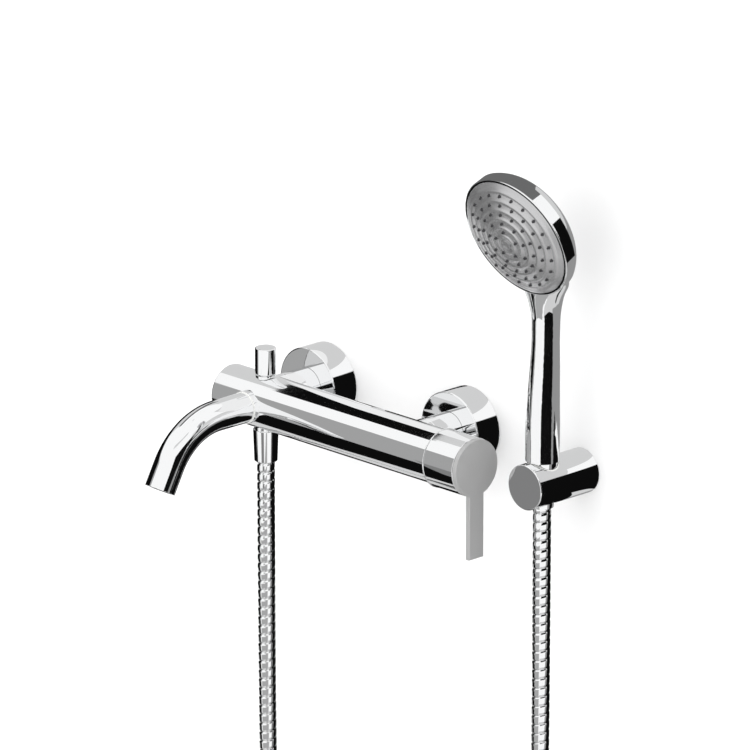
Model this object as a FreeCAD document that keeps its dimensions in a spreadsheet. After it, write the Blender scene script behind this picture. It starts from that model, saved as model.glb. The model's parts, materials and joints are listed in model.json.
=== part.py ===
"""Wall mounted bath faucet: single-lever bar mixer, spout, diverter, hose, holder and hand shower.

Millimetres, +Z up. The origin is on the wall plane, midway between the two water inlets and at the
height of the mixer's axis. +Y runs into the wall and +X to the right of a person facing the wall.
Pieces are turned profiles, sketched plates or primitives with booleans, driven by the sheet "Sizes".
"""
import FreeCAD, Part
import Sketcher
import math
import os
import re
from FreeCAD import Placement, Rotation, Vector

doc = FreeCAD.newDocument("WallBathFaucet")

# ---------------------------------------------------------------- driving dimensions
SIZES = [
    # layout on the wall
    ("inlet_pitch", 150.0, "between the two inlets"),
    ("axis_reach", 69.2, "wall to mixer axis"),
    ("outlet_side", 70.0, "spout, diverter and shower outlet, left of the middle"),
    ("holder_side", 189.2, "hand shower holder, right of the middle"),
    ("holder_drop", 8.0, "holder axis below the mixer axis"),
    ("run_gap", 0.3, "air between pieces that move past each other"),
    ("slide_gap", 0.2, "air round trim that slides over a piece"),
    ("cut_past", 1.0, "how far a bore runs past the surface it opens in"),
    # mixer body
    ("body_r", 20.4, ""),
    ("end_past_left", 32.2, "left end beyond the left inlet"),
    ("end_past_right", 41.3, "right end, where the handle starts, beyond the right inlet"),
    ("end_wall", 4.0, "closed left end"),
    ("end_round", 1.0, "rounding of the body's left rim"),
    ("bore_wall", 4.4, "wall round the water bore"),
    ("web_back", 8.0, "front face of the web that splits the bore, behind the axis"),
    ("web_wall", 2.5, ""),
    ("chamber_wall", 2.9, "wall round the cartridge chamber"),
    ("chamber_depth", 30.0, ""),
    ("boss_past", 2.4, "inlet boss face beyond the bar"),
    ("spout_boss_over", 0.8, "spout boss wider than the spout"),
    ("spout_boss_past", 1.6, "spout boss face beyond the bar"),
    # wall connections
    ("flange_r", 29.3, ""),
    ("flange_depth", 22.2, ""),
    ("flange_wall", 1.2, ""),
    ("flange_round", 0.9, ""),
    ("wall_thread_r", 10.48, "G1/2 outside thread"),
    ("wall_thread_length", 18.0, ""),
    ("offset_drop", 5.0, "wall thread below the body thread"),
    ("thread_relief", 0.68, "neck smaller than the wall thread"),
    ("wall_bore_r", 7.0, ""),
    ("collar_r", 17.0, "collar of the offset connector"),
    ("collar_start", 6.0, ""),
    ("collar_length", 6.0, ""),
    ("sleeve_wall", 1.43, "union nut and inlet boss outside their thread"),
    ("union_thread_r", 13.22, "G3/4 thread"),
    ("union_bore_r", 9.5, ""),
    ("nut_inside", 6.2, "union nut reaches into the flange"),
    ("lip_thick", 5.7, ""),
    ("shoulder_thick", 3.0, ""),
    ("filter_thick", 2.0, ""),
    ("filter_bore_r", 7.5, ""),
    ("nipple_r", 10.0, ""),
    ("nipple_bore_r", 8.0, ""),
    ("nipple_grip", 6.4, "length screwed into the boss"),
    ("inlet_stop", 1.0, "inlet hole ends short of the web"),
    ("valve_bore_r", 5.2, ""),
    ("valve_length", 9.0, ""),
    # cartridge, measured inwards from the body's right end
    ("ring_inset", 0.5, ""),
    ("ring_length", 4.8, ""),
    ("ring_bore_r", 9.6, ""),
    ("housing_length", 20.0, ""),
    ("housing_mouth_r", 12.6, ""),
    ("mouth_depth", 9.2, ""),
    ("neck_bore_r", 9.0, ""),
    ("neck_depth", 3.5, ""),
    ("disc_bore_r", 14.0, ""),
    ("disc_thick", 3.0, "each ceramic disc"),
    ("base_thick", 3.0, ""),
    ("port_r", 3.0, "water ports of the cartridge"),
    ("port_circle", 8.5, "radius on which the ports lie"),
    ("carrier_thick", 6.0, ""),
    ("arm_thick", 2.5, ""),
    ("arm_width", 6.4, ""),
    ("arm_past", 3.0, "arm beyond the pivot"),
    ("pivot_r", 1.5, ""),
    ("stem_r", 4.6, ""),
    ("stem_tail", 4.0, "stem behind the pivot"),
    ("stem_length", 24.0, "stem in front of the pivot"),
    ("dome_inset", 1.1, "dome smaller than the bar"),
    ("dome_rise", 5.5, ""),
    ("dome_wall", 1.2, ""),
    # handle
    ("cap_over", 1.2, "cap wider than the bar"),
    ("cap_skin", 0.6, ""),
    ("cap_length", 31.0, "body end to lever plate"),
    ("cap_wall", 2.5, "end wall of the cap"),
    ("cap_boss_r", 7.6, ""),
    ("cap_boss_start", 9.0, ""),
    ("cap_round", 0.5, ""),
    ("plate_inset", 0.4, "lever disc smaller than the cap"),
    ("plate_thick", 3.6, ""),
    ("edge_round", 0.5, "small roundings of turned edges"),
    ("paddle_width", 14.5, ""),
    ("paddle_reach", 68.5, "paddle tip below the axis"),
    ("set_screw_r", 2.0, ""),
    ("set_screw_length", 4.4, ""),
    ("set_screw_side", 17.0, "from the body end"),
    # spout
    ("spout_r", 11.5, ""),
    ("spout_wall", 1.5, ""),
    ("spout_straight", 49.4, "bend start from the axis"),
    ("spout_bend_r", 55.0, ""),
    ("spout_bend_angle", 61.0, "degrees"),
    ("spout_drop", 18.5, "straight end of the spout"),
    ("spout_seal_thick", 0.8, ""),
    ("spout_seal_proud", 0.5, "seal ring beyond the tube"),
    ("aerator_length", 12.0, ""),
    ("aerator_inset", 0.6, ""),
    ("aerator_wall", 1.8, ""),
    ("aerator_ledge", 1.5, "ledge that the screen sits on"),
    ("aerator_ledge_thick", 2.0, ""),
    ("screen_inset", 1.0, "screen inside the aerator's mouth"),
    ("screen_ring_step", 3.04, "between the screen's rings of holes"),
    ("screen_thick", 5.0, ""),
    ("screen_hole_r", 0.9, ""),
    # diverter, measured from the axis
    ("bonnet_r", 7.5, ""),
    ("bonnet_low", 12.8, ""),
    ("bonnet_neck_wall", 2.3, ""),
    ("bonnet_rim", 0.6, "bonnet rim above the body's top"),
    ("knob_r", 7.8, ""),
    ("knob_rise", 1.4, "knob above the bar"),
    ("knob_height", 19.8, ""),
    ("knob_round", 0.6, ""),
    ("rod_r", 2.6, ""),
    ("rod_grip", 12.2, "rod inside the knob"),
    ("rod_bottom", 13.7, "rod end below the axis"),
    ("seal_r", 7.0, ""),
    ("seal_thick", 3.0, ""),
    ("spring_gap", 1.4, "middle of the spring wire from the rod"),
    ("spring_wire_r", 0.5, ""),
    ("spring_turns", 7.0, ""),
    # shower outlet and hose ends
    ("hose_thread_r", 8.33, "G3/8 thread"),
    ("hose_thread_length", 12.0, "thread outside the body or handle"),
    ("hose_nipple_bore_r", 5.5, ""),
    ("nipple_inside", 14.0, "nipple top below the axis"),
    ("hose_washer_thick", 2.0, ""),
    ("hose_washer_gap", 0.33, "washer smaller than the thread"),
    ("ferrule_r", 7.1, ""),
    ("ferrule_bore_r", 4.5, ""),
    ("ferrule_head_thick", 2.0, ""),
    ("ferrule_head_gap", 0.38, "ferrule head smaller than the thread"),
    ("ferrule_past", 0.7, "upper ferrule below the holder"),
    ("nut_gap", 0.6, "hose nut below the bar"),
    ("nut_top_r", 9.45, ""),
    ("nut_low_r", 8.6, ""),
    ("hose_nut_length", 24.5, ""),
    ("hose_r", 6.6, ""),
    # hand shower holder
    ("holder_r", 16.75, ""),
    ("holder_length", 58.9, ""),
    ("holder_round", 0.7, ""),
    ("holder_recess_r", 14.6, ""),
    ("holder_recess", 10.0, ""),
    ("seat_reach", 41.0, "hand shower axis from the wall"),
    ("cone_top_r", 11.2, "cone nut under the handle"),
    ("cone_low_r", 8.3, "cone nut at the holder's underside"),
    ("cone_low", 18.0, "bottom of the cone nut below the holder axis"),
    ("cone_gap", 0.35, ""),
    ("liner_wall", 1.1, ""),
    ("slot_width", 14.4, "way out for the hose, on the mixer's side"),
    ("plate_disc_r", 14.3, ""),
    ("plate_disc_thick", 3.0, ""),
    ("plate_boss_r", 6.0, ""),
    ("plate_boss_length", 9.0, ""),
    ("wall_hole_r", 2.2, ""),
    ("wall_hole_pitch", 20.0, ""),
    ("grub_r", 1.5, ""),
    ("grub_side", 6.0, "grub screw from the wall"),
    ("grub_inset", 1.0, "grub screw inside the holder's surface"),
    # hand shower
    ("foot_rise", 17.1, "handle foot above the holder axis"),
    ("handle_bore_r", 6.5, ""),
    ("insert_r", 9.4, ""),
    ("insert_length", 14.0, ""),
    ("limiter_length", 4.0, ""),
    ("limiter_bore_r", 1.5, ""),
    ("limiter_inset", 1.0, ""),
    ("way_stop", 31.0, "end of the water way below the head's centre"),
    ("face_rise", 188.8, "centre of the head's rim above the holder axis"),
    ("face_front", 28.7, "centre of the head's rim in front of the handle axis"),
    ("face_tilt", 20.4, "degrees the face looks down"),
    ("head_r", 48.2, ""),
    ("rim_width", 2.6, ""),
    ("rim_thick", 4.0, ""),
    ("head_band", 9.5, "straight side of the head, rim included"),
    ("head_depth", 22.0, "whole depth behind the rim's front"),
    ("head_flat_r", 20.0, "flat of the back, under the neck"),
    ("bulge_in", 0.22, "share of the way in at the middle of the back's curve"),
    ("bulge_back", 0.62, "share of the way back there"),
    ("chamber_front", 8.0, "water chamber behind the rim's front"),
    ("head_cavity", 13.0, "back wall of the water chamber"),
    ("cavity_inset", 5.7, "water chamber inside the head's side"),
    ("dome_height", 9.5, "middle of the spray face in front of the rim"),
    ("face_wall", 2.0, ""),
    ("mat_thick", 1.2, ""),
    ("nozzle_r", 1.0, ""),
    ("nozzle_proud", 1.3, ""),
    ("ring_margin", 5.3, "outermost ring of nozzles inside the chamber's wall"),
    ("ring_first", 10.2, "innermost ring of nozzles"),
    ("button_r", 4.2, ""),
    ("button_wall", 1.0, ""),
    ("button_skin", 0.4, "button's front behind the face's inner side"),
    ("button_deep", 1.2, "button's edge behind the face's inner side"),
    ("chamber_plate", 1.6, ""),
]

# ---------------------------------------------------------------- sizes that fit to others
NOZZLES = (5, 9, 14, 17, 21)    # in each ring, from the middle outwards
FITS = {
    "body_left": "inlet_pitch / 2 + end_past_left",
    "body_right": "inlet_pitch / 2 + end_past_right",
    "bore_r": "body_r - bore_wall",
    "chamber_r": "body_r - chamber_wall",
    "boss_reach": "body_r + boss_past",
    "spout_bore_r": "spout_r - spout_wall",
    "spout_boss_r": "spout_r + spout_boss_over",
    "spout_boss_reach": "body_r + spout_boss_past",
    "wall_neck_r": "wall_thread_r - thread_relief",
    "sleeve_r": "union_thread_r + sleeve_wall",
    "arm_gap": "stem_r + run_gap",
    "dome_r": "body_r - dome_inset",
    "cap_r": "body_r + cap_over",
    "cap_bore_r": "body_r + cap_over - cap_skin",
    "plate_r": "body_r + cap_over - plate_inset",
    "aerator_bore_r": "spout_r - spout_wall - aerator_wall",
    "bonnet_neck_r": "rod_r + run_gap + bonnet_neck_wall",
    "knob_low": "body_r + knob_rise",
    "rod_top": "body_r + knob_rise + rod_grip",
    "hose_washer_r": "hose_thread_r - hose_washer_gap",
    "ferrule_head_r": "hose_thread_r - ferrule_head_gap",
    "nut_top": "body_r + nut_gap",
    "nut_low": "body_r + nut_gap + hose_nut_length",
    "rim_bore_r": "head_r - rim_width",
    "cavity_r": "head_r - cavity_inset",
}

sheet = doc.addObject("Spreadsheet::Sheet", "Sizes")
for row, (alias, value, note) in enumerate(SIZES, start=1):
    sheet.set(f"A{row}", alias.replace("_", " "))
    sheet.set(f"B{row}", str(value))
    sheet.set(f"C{row}", note)
    sheet.setAlias(f"B{row}", alias)
doc.recompute()

FIT = re.compile(r"\b(" + "|".join(FITS) + r")\b")
ALIAS = re.compile(r"\b(" + "|".join(name for name, _, _ in SIZES) + r")\b")
NODES = {}


def size(alias):
    """The value of one cell, for the shapes that are computed here."""
    return float(getattr(sheet, alias))


def bind(obj, path, formula):
    """Drive one property by a formula over the sheet's names and the fitted sizes."""
    formula = FIT.sub(lambda found: f"({FITS[found.group()]})", formula)
    obj.setExpression(path, ALIAS.sub(r"Sizes.\1", formula))


def put(obj, at, rotation=None, angle=None):
    """Place an object at three formulas, turned by a fixed rotation or by an angle about X."""
    obj.Placement = Placement(Vector(), rotation or Rotation(Vector(1, 0, 0), 90))
    for letter, formula in zip("xyz", at):
        bind(obj, f"Placement.Base.{letter}", formula)
    if angle:
        bind(obj, "Placement.Rotation.Angle", angle)


def aim(x, y, z):
    """Rotation that brings a piece's own +Z to this direction."""
    return Rotation(Vector(0, 0, 1), Vector(x, y, z))


OUT, IN = aim(0, -1, 0), aim(0, 1, 0)
RIGHT, LEFT = aim(1, 0, 0), aim(-1, 0, 0)
UP, DOWN = Rotation(), Rotation(Vector(1, 0, 0), 180)


def node(label, obj):
    """Give a finished piece its name and put it on the list of pieces to write."""
    obj.Label = label
    NODES[label] = obj
    return obj


# ---------------------------------------------------------------- ways of making a piece
def origin_plane(body, role):
    return [item for item in body.Origin.OriginFeatures if item.Role == role][0]


def new_sketch(body, name, role):
    sketch = body.newObject("Sketcher::SketchObject", name)
    sketch.AttachmentSupport = [(origin_plane(body, role), "")]
    sketch.MapMode = "FlatFace"
    return sketch


def fix_point(sketch, line, end, x, y):
    """Hold one end of a line at two formulas from the sketch's origin."""
    for kind, formula in (("DistanceX", x), ("DistanceY", y)):
        index = sketch.addConstraint(Sketcher.Constraint(kind, -1, 1, line, end, 1.0))
        bind(sketch, f"Constraints[{index}]", formula)


def turned(name, profile, at, rotation, rounds=(), angle=None):
    """A lathe piece: (radius, height) formulas turned about its own Z. rounds: (corner, size name)."""
    body = doc.addObject("PartDesign::Body", name)
    sketch = new_sketch(body, name + "_profile", "XZ_Plane")
    count = len(profile)
    guess = [Vector(5 + 3 * math.cos(2 * math.pi * i / count), 5 + 3 * math.sin(2 * math.pi * i / count), 0)
             for i in range(count)]
    for i in range(count):
        sketch.addGeometry(Part.LineSegment(guess[i], guess[(i + 1) % count]))
    for i in range(count):
        sketch.addConstraint(Sketcher.Constraint("Coincident", i, 2, (i + 1) % count, 1))
    for i, (radius, height) in enumerate(profile):
        fix_point(sketch, i, 1, radius, height)
    doc.recompute()
    turn = body.newObject("PartDesign::Revolution", name + "_turn")
    turn.Profile = sketch
    turn.ReferenceAxis = (sketch, ["V_Axis"])
    turn.Angle = 360.0
    doc.recompute()
    for corner, radius_name in rounds:
        point = sketch.getPoint(corner, 1)
        base = body.Tip
        edges = [f"Edge{i}" for i, edge in enumerate(base.Shape.Edges, start=1)
                 if isinstance(edge.Curve, Part.Circle)
                 and abs(edge.Curve.Radius - abs(point.x)) < 1e-4
                 and abs(edge.Curve.Center.z - point.y) < 1e-4]
        rounding = body.newObject("PartDesign::Fillet", f"{name}_round{corner}")
        rounding.Base = (base, edges)
        bind(rounding, "Radius", radius_name)
        doc.recompute()
    put(body, at, rotation, angle)
    return body


def tube(name, outer, inner, low, high, at, rotation, angle=None):
    """A plain ring turned between two heights."""
    profile = [(inner, low), (outer, low), (outer, high), (inner, high)]
    return turned(name, profile, at, rotation, angle=angle)


def rod(name, radius, length, at, rotation=None, angle=None):
    """A cylinder along its own Z."""
    cylinder = doc.addObject("Part::Cylinder", name)
    bind(cylinder, "Radius", radius)
    bind(cylinder, "Height", length)
    put(cylinder, at, rotation, angle)
    return cylinder


def block(name, length, width, height, at):
    """A box from its low corner."""
    box = doc.addObject("Part::Box", name)
    for path, formula in (("Length", length), ("Width", width), ("Height", height)):
        bind(box, path, formula)
    put(box, at, UP)
    return box


def cone(name, low_r, high_r, length, at):
    """An upright cone frustum."""
    frustum = doc.addObject("Part::Cone", name)
    for path, formula in (("Radius1", low_r), ("Radius2", high_r), ("Height", length)):
        bind(frustum, path, formula)
    put(frustum, at, UP)
    return frustum


def fuse(name, shapes):
    joined = doc.addObject("Part::MultiFuse", name)
    joined.Shapes = shapes
    joined.Refine = True
    return joined


def cut(name, base, tool):
    rest = doc.addObject("Part::Cut", name)
    rest.Base = base
    rest.Tool = tool
    return rest


def common(name, first, second):
    both = doc.addObject("Part::Common", name)
    both.Base = first
    both.Tool = second
    return both


def ported_plate(label, radius, low, thick, at, rotation):
    """A round plate with the cartridge's three water ports, sketched, padded, bored and patterned."""
    body = doc.addObject("PartDesign::Body", label)
    outline = new_sketch(body, label + "_outline", "XY_Plane")
    outline.addGeometry(Part.Circle(Vector(), Vector(0, 0, 1), 10))
    outline.addConstraint(Sketcher.Constraint("Coincident", 0, 3, -1, 1))
    index = outline.addConstraint(Sketcher.Constraint("Radius", 0, 10))
    bind(outline, f"Constraints[{index}]", radius)
    bind(outline, "AttachmentOffset.Base.z", low)
    pad = body.newObject("PartDesign::Pad", label + "_pad")
    pad.Profile = outline
    bind(pad, "Length", thick)
    hole = new_sketch(body, label + "_port", "XY_Plane")
    hole.addGeometry(Part.Circle(Vector(5, 0, 0), Vector(0, 0, 1), 2))
    index = hole.addConstraint(Sketcher.Constraint("Radius", 0, 2))
    bind(hole, f"Constraints[{index}]", "port_r")
    index = hole.addConstraint(Sketcher.Constraint("DistanceX", -1, 1, 0, 3, 5))
    bind(hole, f"Constraints[{index}]", "port_circle")
    hole.addConstraint(Sketcher.Constraint("PointOnObject", 0, 3, -1))
    bind(hole, "AttachmentOffset.Base.z", low)
    doc.recompute()
    pocket = body.newObject("PartDesign::Pocket", label + "_bored")
    pocket.Profile = hole
    pocket.Type = 1
    pocket.Midplane = True
    doc.recompute()
    pattern = body.newObject("PartDesign::PolarPattern", label + "_ports")
    pattern.Originals = [pocket]
    pattern.Axis = (outline, ["N_Axis"])
    pattern.Angle = 360
    pattern.Occurrences = 3
    body.Tip = pattern
    put(body, at, rotation)
    return node(label, body)


# ---------------------------------------------------------------- wall connections
BOSS_FACE = "(axis_reach - boss_reach)"
NUT_START = "(flange_depth - nut_inside)"
NUT_END = f"({BOSS_FACE} - slide_gap)"
SHOULDER_END = f"({NUT_END} - lip_thick)"
SHOULDER_START = f"({SHOULDER_END} - shoulder_thick)"
UNION_SEAT = f"({SHOULDER_START} - filter_thick)"
NIPPLE_END = f"({BOSS_FACE} + nipple_grip)"


def wall_connection(side, sign):
    """Everything between the wall and one inlet boss. Heights run outwards from the wall."""
    place = (f"{sign} * inlet_pitch / 2", "0", "0")
    bored = "sleeve_r + slide_gap"
    node(f"wall_flange_{side}", turned(f"wall_flange_{side}", [
        ("flange_r - flange_wall", "0"), ("flange_r", "0"), ("flange_r", "flange_depth"),
        (bored, "flange_depth"), (bored, "flange_depth - flange_wall"),
        ("flange_r - flange_wall", "flange_depth - flange_wall")], place, OUT, [(2, "flange_round")]))

    low = (place[0], "wall_thread_length", "-offset_drop")
    neck = (place[0], "0", "-offset_drop")
    low_start = (place[0], f"-{UNION_SEAT}", "0")
    neck_length = "collar_start + collar_length / 2"
    outside = fuse(f"connector_outside_{side}", [
        rod(f"wall_thread_{side}", "wall_thread_r", "wall_thread_length", low, OUT),
        rod(f"wall_neck_{side}", "wall_neck_r", neck_length, neck, OUT),
        rod(f"connector_collar_{side}", "collar_r", "collar_length",
            (place[0], "-collar_start", "0"), OUT),
        rod(f"union_thread_{side}", "union_thread_r", f"{UNION_SEAT} - collar_start", low_start, IN)])
    inside = fuse(f"connector_inside_{side}", [
        rod(f"wall_bore_{side}", "wall_bore_r", f"wall_thread_length + {neck_length}", low, OUT),
        rod(f"union_bore_{side}", "union_bore_r", f"{UNION_SEAT} - collar_start - collar_length / 2",
            low_start, IN)])
    node(f"offset_connector_{side}", cut(f"connector_{side}", outside, inside))

    node(f"union_nut_{side}", turned(f"union_nut_{side}", [
        ("union_thread_r", NUT_START), ("sleeve_r", NUT_START),
        ("sleeve_r", NUT_END), ("nipple_r + slide_gap", NUT_END), ("nipple_r + slide_gap", SHOULDER_END),
        ("union_thread_r", SHOULDER_END)], place, OUT, [(2, "edge_round")]))
    node(f"filter_washer_{side}", tube(f"filter_washer_{side}", "union_thread_r - slide_gap", "filter_bore_r",
                                       UNION_SEAT, SHOULDER_START, place, OUT))
    node(f"inlet_nipple_{side}", turned(f"inlet_nipple_{side}", [
        ("nipple_bore_r", SHOULDER_START), ("union_thread_r - slide_gap", SHOULDER_START),
        ("union_thread_r - slide_gap", SHOULDER_END), ("nipple_r", SHOULDER_END), ("nipple_r", NIPPLE_END),
        ("nipple_bore_r", NIPPLE_END)], place, OUT))
    node(f"check_valve_{side}", tube(f"check_valve_{side}", "nipple_bore_r", "valve_bore_r", SHOULDER_END,
                                     f"{SHOULDER_END} + valve_length", place, OUT))


wall_connection("left", "-1")
wall_connection("right", "1")


# ---------------------------------------------------------------- mixer body
AXIS = ("-axis_reach", "0")
OUTLET = ("-outlet_side", "-axis_reach", "0")
BODY_END = ("body_right", "-axis_reach", "0")


def mixer_body():
    """The bar with its bosses, split water bore, cartridge chamber and threaded holes."""
    bar = turned("bar", [
        ("0", "0"), ("body_r", "0"), ("body_r", "body_left + body_right"), ("0", "body_left + body_right")],
        ("-body_left",) + AXIS, RIGHT, [(1, "end_round"), (2, "edge_round")])
    outside = fuse("body_outside", [bar] + [
        rod(f"inlet_boss_{side}", "sleeve_r", "boss_reach", (f"{sign} * inlet_pitch / 2",) + AXIS, IN)
        for side, sign in (("left", "-1"), ("right", "1"))
    ] + [rod("spout_boss", "spout_boss_r", "spout_boss_reach", OUTLET, OUT)])

    bore_start = "-body_left + end_wall"
    bore_length = "body_left + body_right - end_wall - chamber_depth"
    water_bore = rod("water_bore", "bore_r", bore_length, (bore_start,) + AXIS, RIGHT)
    web = block("bore_web", bore_length, "web_wall", "2 * bore_r",
                (bore_start, "-axis_reach + web_back", "-bore_r"))
    holes = [cut("split_bore", water_bore, web)]
    holes.append(rod("cartridge_chamber", "chamber_r", "chamber_depth", BODY_END, LEFT))
    inlet_depth = "boss_reach - web_back - web_wall - inlet_stop"
    for side, sign in (("left", "-1"), ("right", "1")):
        holes.append(rod(f"inlet_hole_{side}", "nipple_r", inlet_depth,
                         (f"{sign} * inlet_pitch / 2", f"-{BOSS_FACE}", "0"), OUT))
    holes.append(rod("spout_hole", "spout_bore_r", "spout_boss_reach", OUTLET, OUT))
    holes.append(rod("bonnet_hole", "bonnet_r", "body_r + cut_past", OUTLET, UP))
    holes.append(rod("outlet_hole", "hose_thread_r", "body_r + cut_past", OUTLET, DOWN))
    node("body_shell", cut("body", outside, fuse("body_holes", holes)))


mixer_body()


# ---------------------------------------------------------------- cartridge, handle
RING_BACK = "(ring_inset + ring_length)"
MOUTH_BACK = f"({RING_BACK} + mouth_depth)"
NECK_BACK = f"({MOUTH_BACK} + neck_depth)"
HOUSING_BACK = f"({RING_BACK} + housing_length)"
FIXED_FRONT = f"({HOUSING_BACK} - disc_thick)"
MOVING_BACK = f"({FIXED_FRONT} - run_gap)"
MOVING_FRONT = f"({MOVING_BACK} - disc_thick)"
CARRIER_BACK = f"({MOUTH_BACK} - run_gap)"
CARRIER_FRONT = f"({CARRIER_BACK} - carrier_thick)"


def cartridge():
    """The ceramic-disc cartridge in its chamber. Heights run inwards from the body's right end."""
    node("cartridge_ring", tube("cartridge_ring", "chamber_r", "ring_bore_r", "ring_inset", RING_BACK,
                                BODY_END, LEFT))
    node("cartridge_housing", turned("cartridge_housing", [
        ("housing_mouth_r", RING_BACK), ("chamber_r - slide_gap / 2", RING_BACK),
        ("chamber_r - slide_gap / 2", HOUSING_BACK), ("disc_bore_r", HOUSING_BACK),
        ("disc_bore_r", NECK_BACK), ("neck_bore_r", NECK_BACK), ("neck_bore_r", MOUTH_BACK),
        ("housing_mouth_r", MOUTH_BACK)],
        BODY_END, LEFT))
    ported_plate("ceramic_disc_fixed", "disc_bore_r - slide_gap", FIXED_FRONT, "disc_thick", BODY_END, LEFT)
    ported_plate("cartridge_base", "chamber_r - slide_gap / 2", HOUSING_BACK, "base_thick", BODY_END, LEFT)
    seal_start = f"{HOUSING_BACK} + base_thick"
    ported_plate("cartridge_seal", "chamber_r - slide_gap", seal_start, f"chamber_depth - ({seal_start})",
                 BODY_END, LEFT)
    node("ceramic_disc_moving", tube("ceramic_disc_moving", "disc_bore_r - run_gap", "port_r", MOVING_FRONT,
                                     MOVING_BACK, BODY_END, LEFT))
    node("cartridge_dome", turned("cartridge_dome", [
        ("dome_r - dome_wall", "0"), ("dome_r", "0"), ("dome_r", "dome_wall"), ("ring_bore_r", "dome_rise"),
        ("ring_bore_r", "dome_rise - dome_wall")], BODY_END, RIGHT))


def spindle_carrier():
    """The turning fork of the cartridge, which holds the stem's pivot pin at the body's end."""
    hub = turned("carrier_hub", [
        ("0", CARRIER_FRONT), ("housing_mouth_r - run_gap", CARRIER_FRONT),
        ("housing_mouth_r - run_gap", CARRIER_BACK), ("neck_bore_r - run_gap", CARRIER_BACK),
        ("neck_bore_r - run_gap", MOVING_FRONT), ("0", MOVING_FRONT)], BODY_END, LEFT)
    arms = [block(f"carrier_arm_{side}", f"{CARRIER_FRONT} + arm_past", "arm_thick", "arm_width",
                  (f"body_right - {CARRIER_FRONT}", f"-axis_reach + {offset}", "-arm_width / 2"))
            for side, offset in (("front", "(-arm_gap - arm_thick)"), ("back", "arm_gap"))]
    pin_length = "2 * (arm_gap + arm_thick)"
    pin_place = ("body_right", "-axis_reach - arm_gap - arm_thick", "0")
    pin_hole = rod("pin_hole", "pivot_r", pin_length, pin_place, IN)
    node("spindle_carrier", cut("carrier", fuse("carrier_fork", [hub] + arms), pin_hole))
    node("pivot_pin", rod("pin", "pivot_r", pin_length, pin_place, IN))

    stem = rod("stem_bar", "stem_r", "stem_tail + stem_length", ("body_right - stem_tail",) + AXIS, RIGHT)
    pin_clear = rod("stem_hole", "pivot_r + slide_gap / 2", "2 * stem_r",
                    ("body_right", "-axis_reach - stem_r", "0"), IN)
    node("cartridge_stem", cut("stem", stem, pin_clear))


def handle():
    """The cap over the body's end, the lever plate on it and the screw that clamps it to the stem."""
    cap = turned("cap", [
        ("cap_bore_r", "run_gap"), ("cap_r", "run_gap"), ("cap_r", "cap_length"), ("0", "cap_length"),
        ("0", "stem_length"), ("stem_r", "stem_length"), ("stem_r", "cap_boss_start"),
        ("cap_boss_r", "cap_boss_start"), ("cap_boss_r", "cap_length - cap_wall"),
        ("cap_bore_r", "cap_length - cap_wall")], BODY_END, RIGHT, [(2, "cap_round")])
    screw_place = ("body_right + set_screw_side", "-axis_reach", "-stem_r")
    screw_way = rod("screw_way", "set_screw_r", "cap_r - stem_r + cut_past", screw_place, DOWN)
    node("handle_cap", cut("bored_cap", cap, screw_way))
    node("handle_set_screw", rod("set_screw", "set_screw_r", "set_screw_length", screw_place, DOWN))

    body = doc.addObject("PartDesign::Body", "lever_plate")
    disc = new_sketch(body, "lever_disc", "XY_Plane")
    disc.addGeometry(Part.Circle(Vector(), Vector(0, 0, 1), 10))
    disc.addConstraint(Sketcher.Constraint("Coincident", 0, 3, -1, 1))
    index = disc.addConstraint(Sketcher.Constraint("Radius", 0, 10))
    bind(disc, f"Constraints[{index}]", "plate_r")
    disc_pad = body.newObject("PartDesign::Pad", "lever_disc_pad")
    disc_pad.Profile = disc
    bind(disc_pad, "Length", "plate_thick")
    paddle = new_sketch(body, "lever_paddle", "XY_Plane")
    corners = [(0, -1), (60, -1), (60, 1), (0, 1)]
    for i in range(4):
        start, end = corners[i], corners[(i + 1) % 4]
        paddle.addGeometry(Part.LineSegment(Vector(*start, 0), Vector(*end, 0)))
    for i in range(4):
        paddle.addConstraint(Sketcher.Constraint("Coincident", i, 2, (i + 1) % 4, 1))
    half = "paddle_width / 2"
    for i, (x, y) in enumerate([("0", f"-{half}"), ("paddle_reach", f"-{half}"), ("paddle_reach", half),
                                ("0", half)]):
        fix_point(paddle, i, 1, x, y)
    doc.recompute()
    paddle_pad = body.newObject("PartDesign::Pad", "lever_paddle_pad")
    paddle_pad.Profile = paddle
    bind(paddle_pad, "Length", "plate_thick")
    doc.recompute()
    front = [f"Edge{i}" for i, edge in enumerate(paddle_pad.Shape.Edges, start=1)
             if abs(edge.BoundBox.ZMin - size("plate_thick")) < 1e-4]
    rounding = body.newObject("PartDesign::Fillet", "lever_plate_round")
    rounding.Base = (paddle_pad, front)
    bind(rounding, "Radius", "edge_round")
    # own X points down the paddle, own Z away from the mixer
    turn = Rotation(Vector(0, 0, -1), Vector(0, 1, 0), Vector(1, 0, 0), "ZXY")
    put(body, ("body_right + cap_length",) + AXIS, turn)
    node("lever_plate", body)


cartridge()
spindle_carrier()
handle()


# ---------------------------------------------------------------- spout
TIP_ANGLE = "90 + spout_bend_angle"
BEND_END = ("-outlet_side", "-axis_reach - spout_straight - spout_bend_r * sin(spout_bend_angle)",
            "-spout_bend_r * (1 - cos(spout_bend_angle))")
SEAL_END = "(spout_boss_reach + spout_seal_thick)"
SCREEN_HOLES = (6, 12)    # in each ring, from the middle outwards


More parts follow.
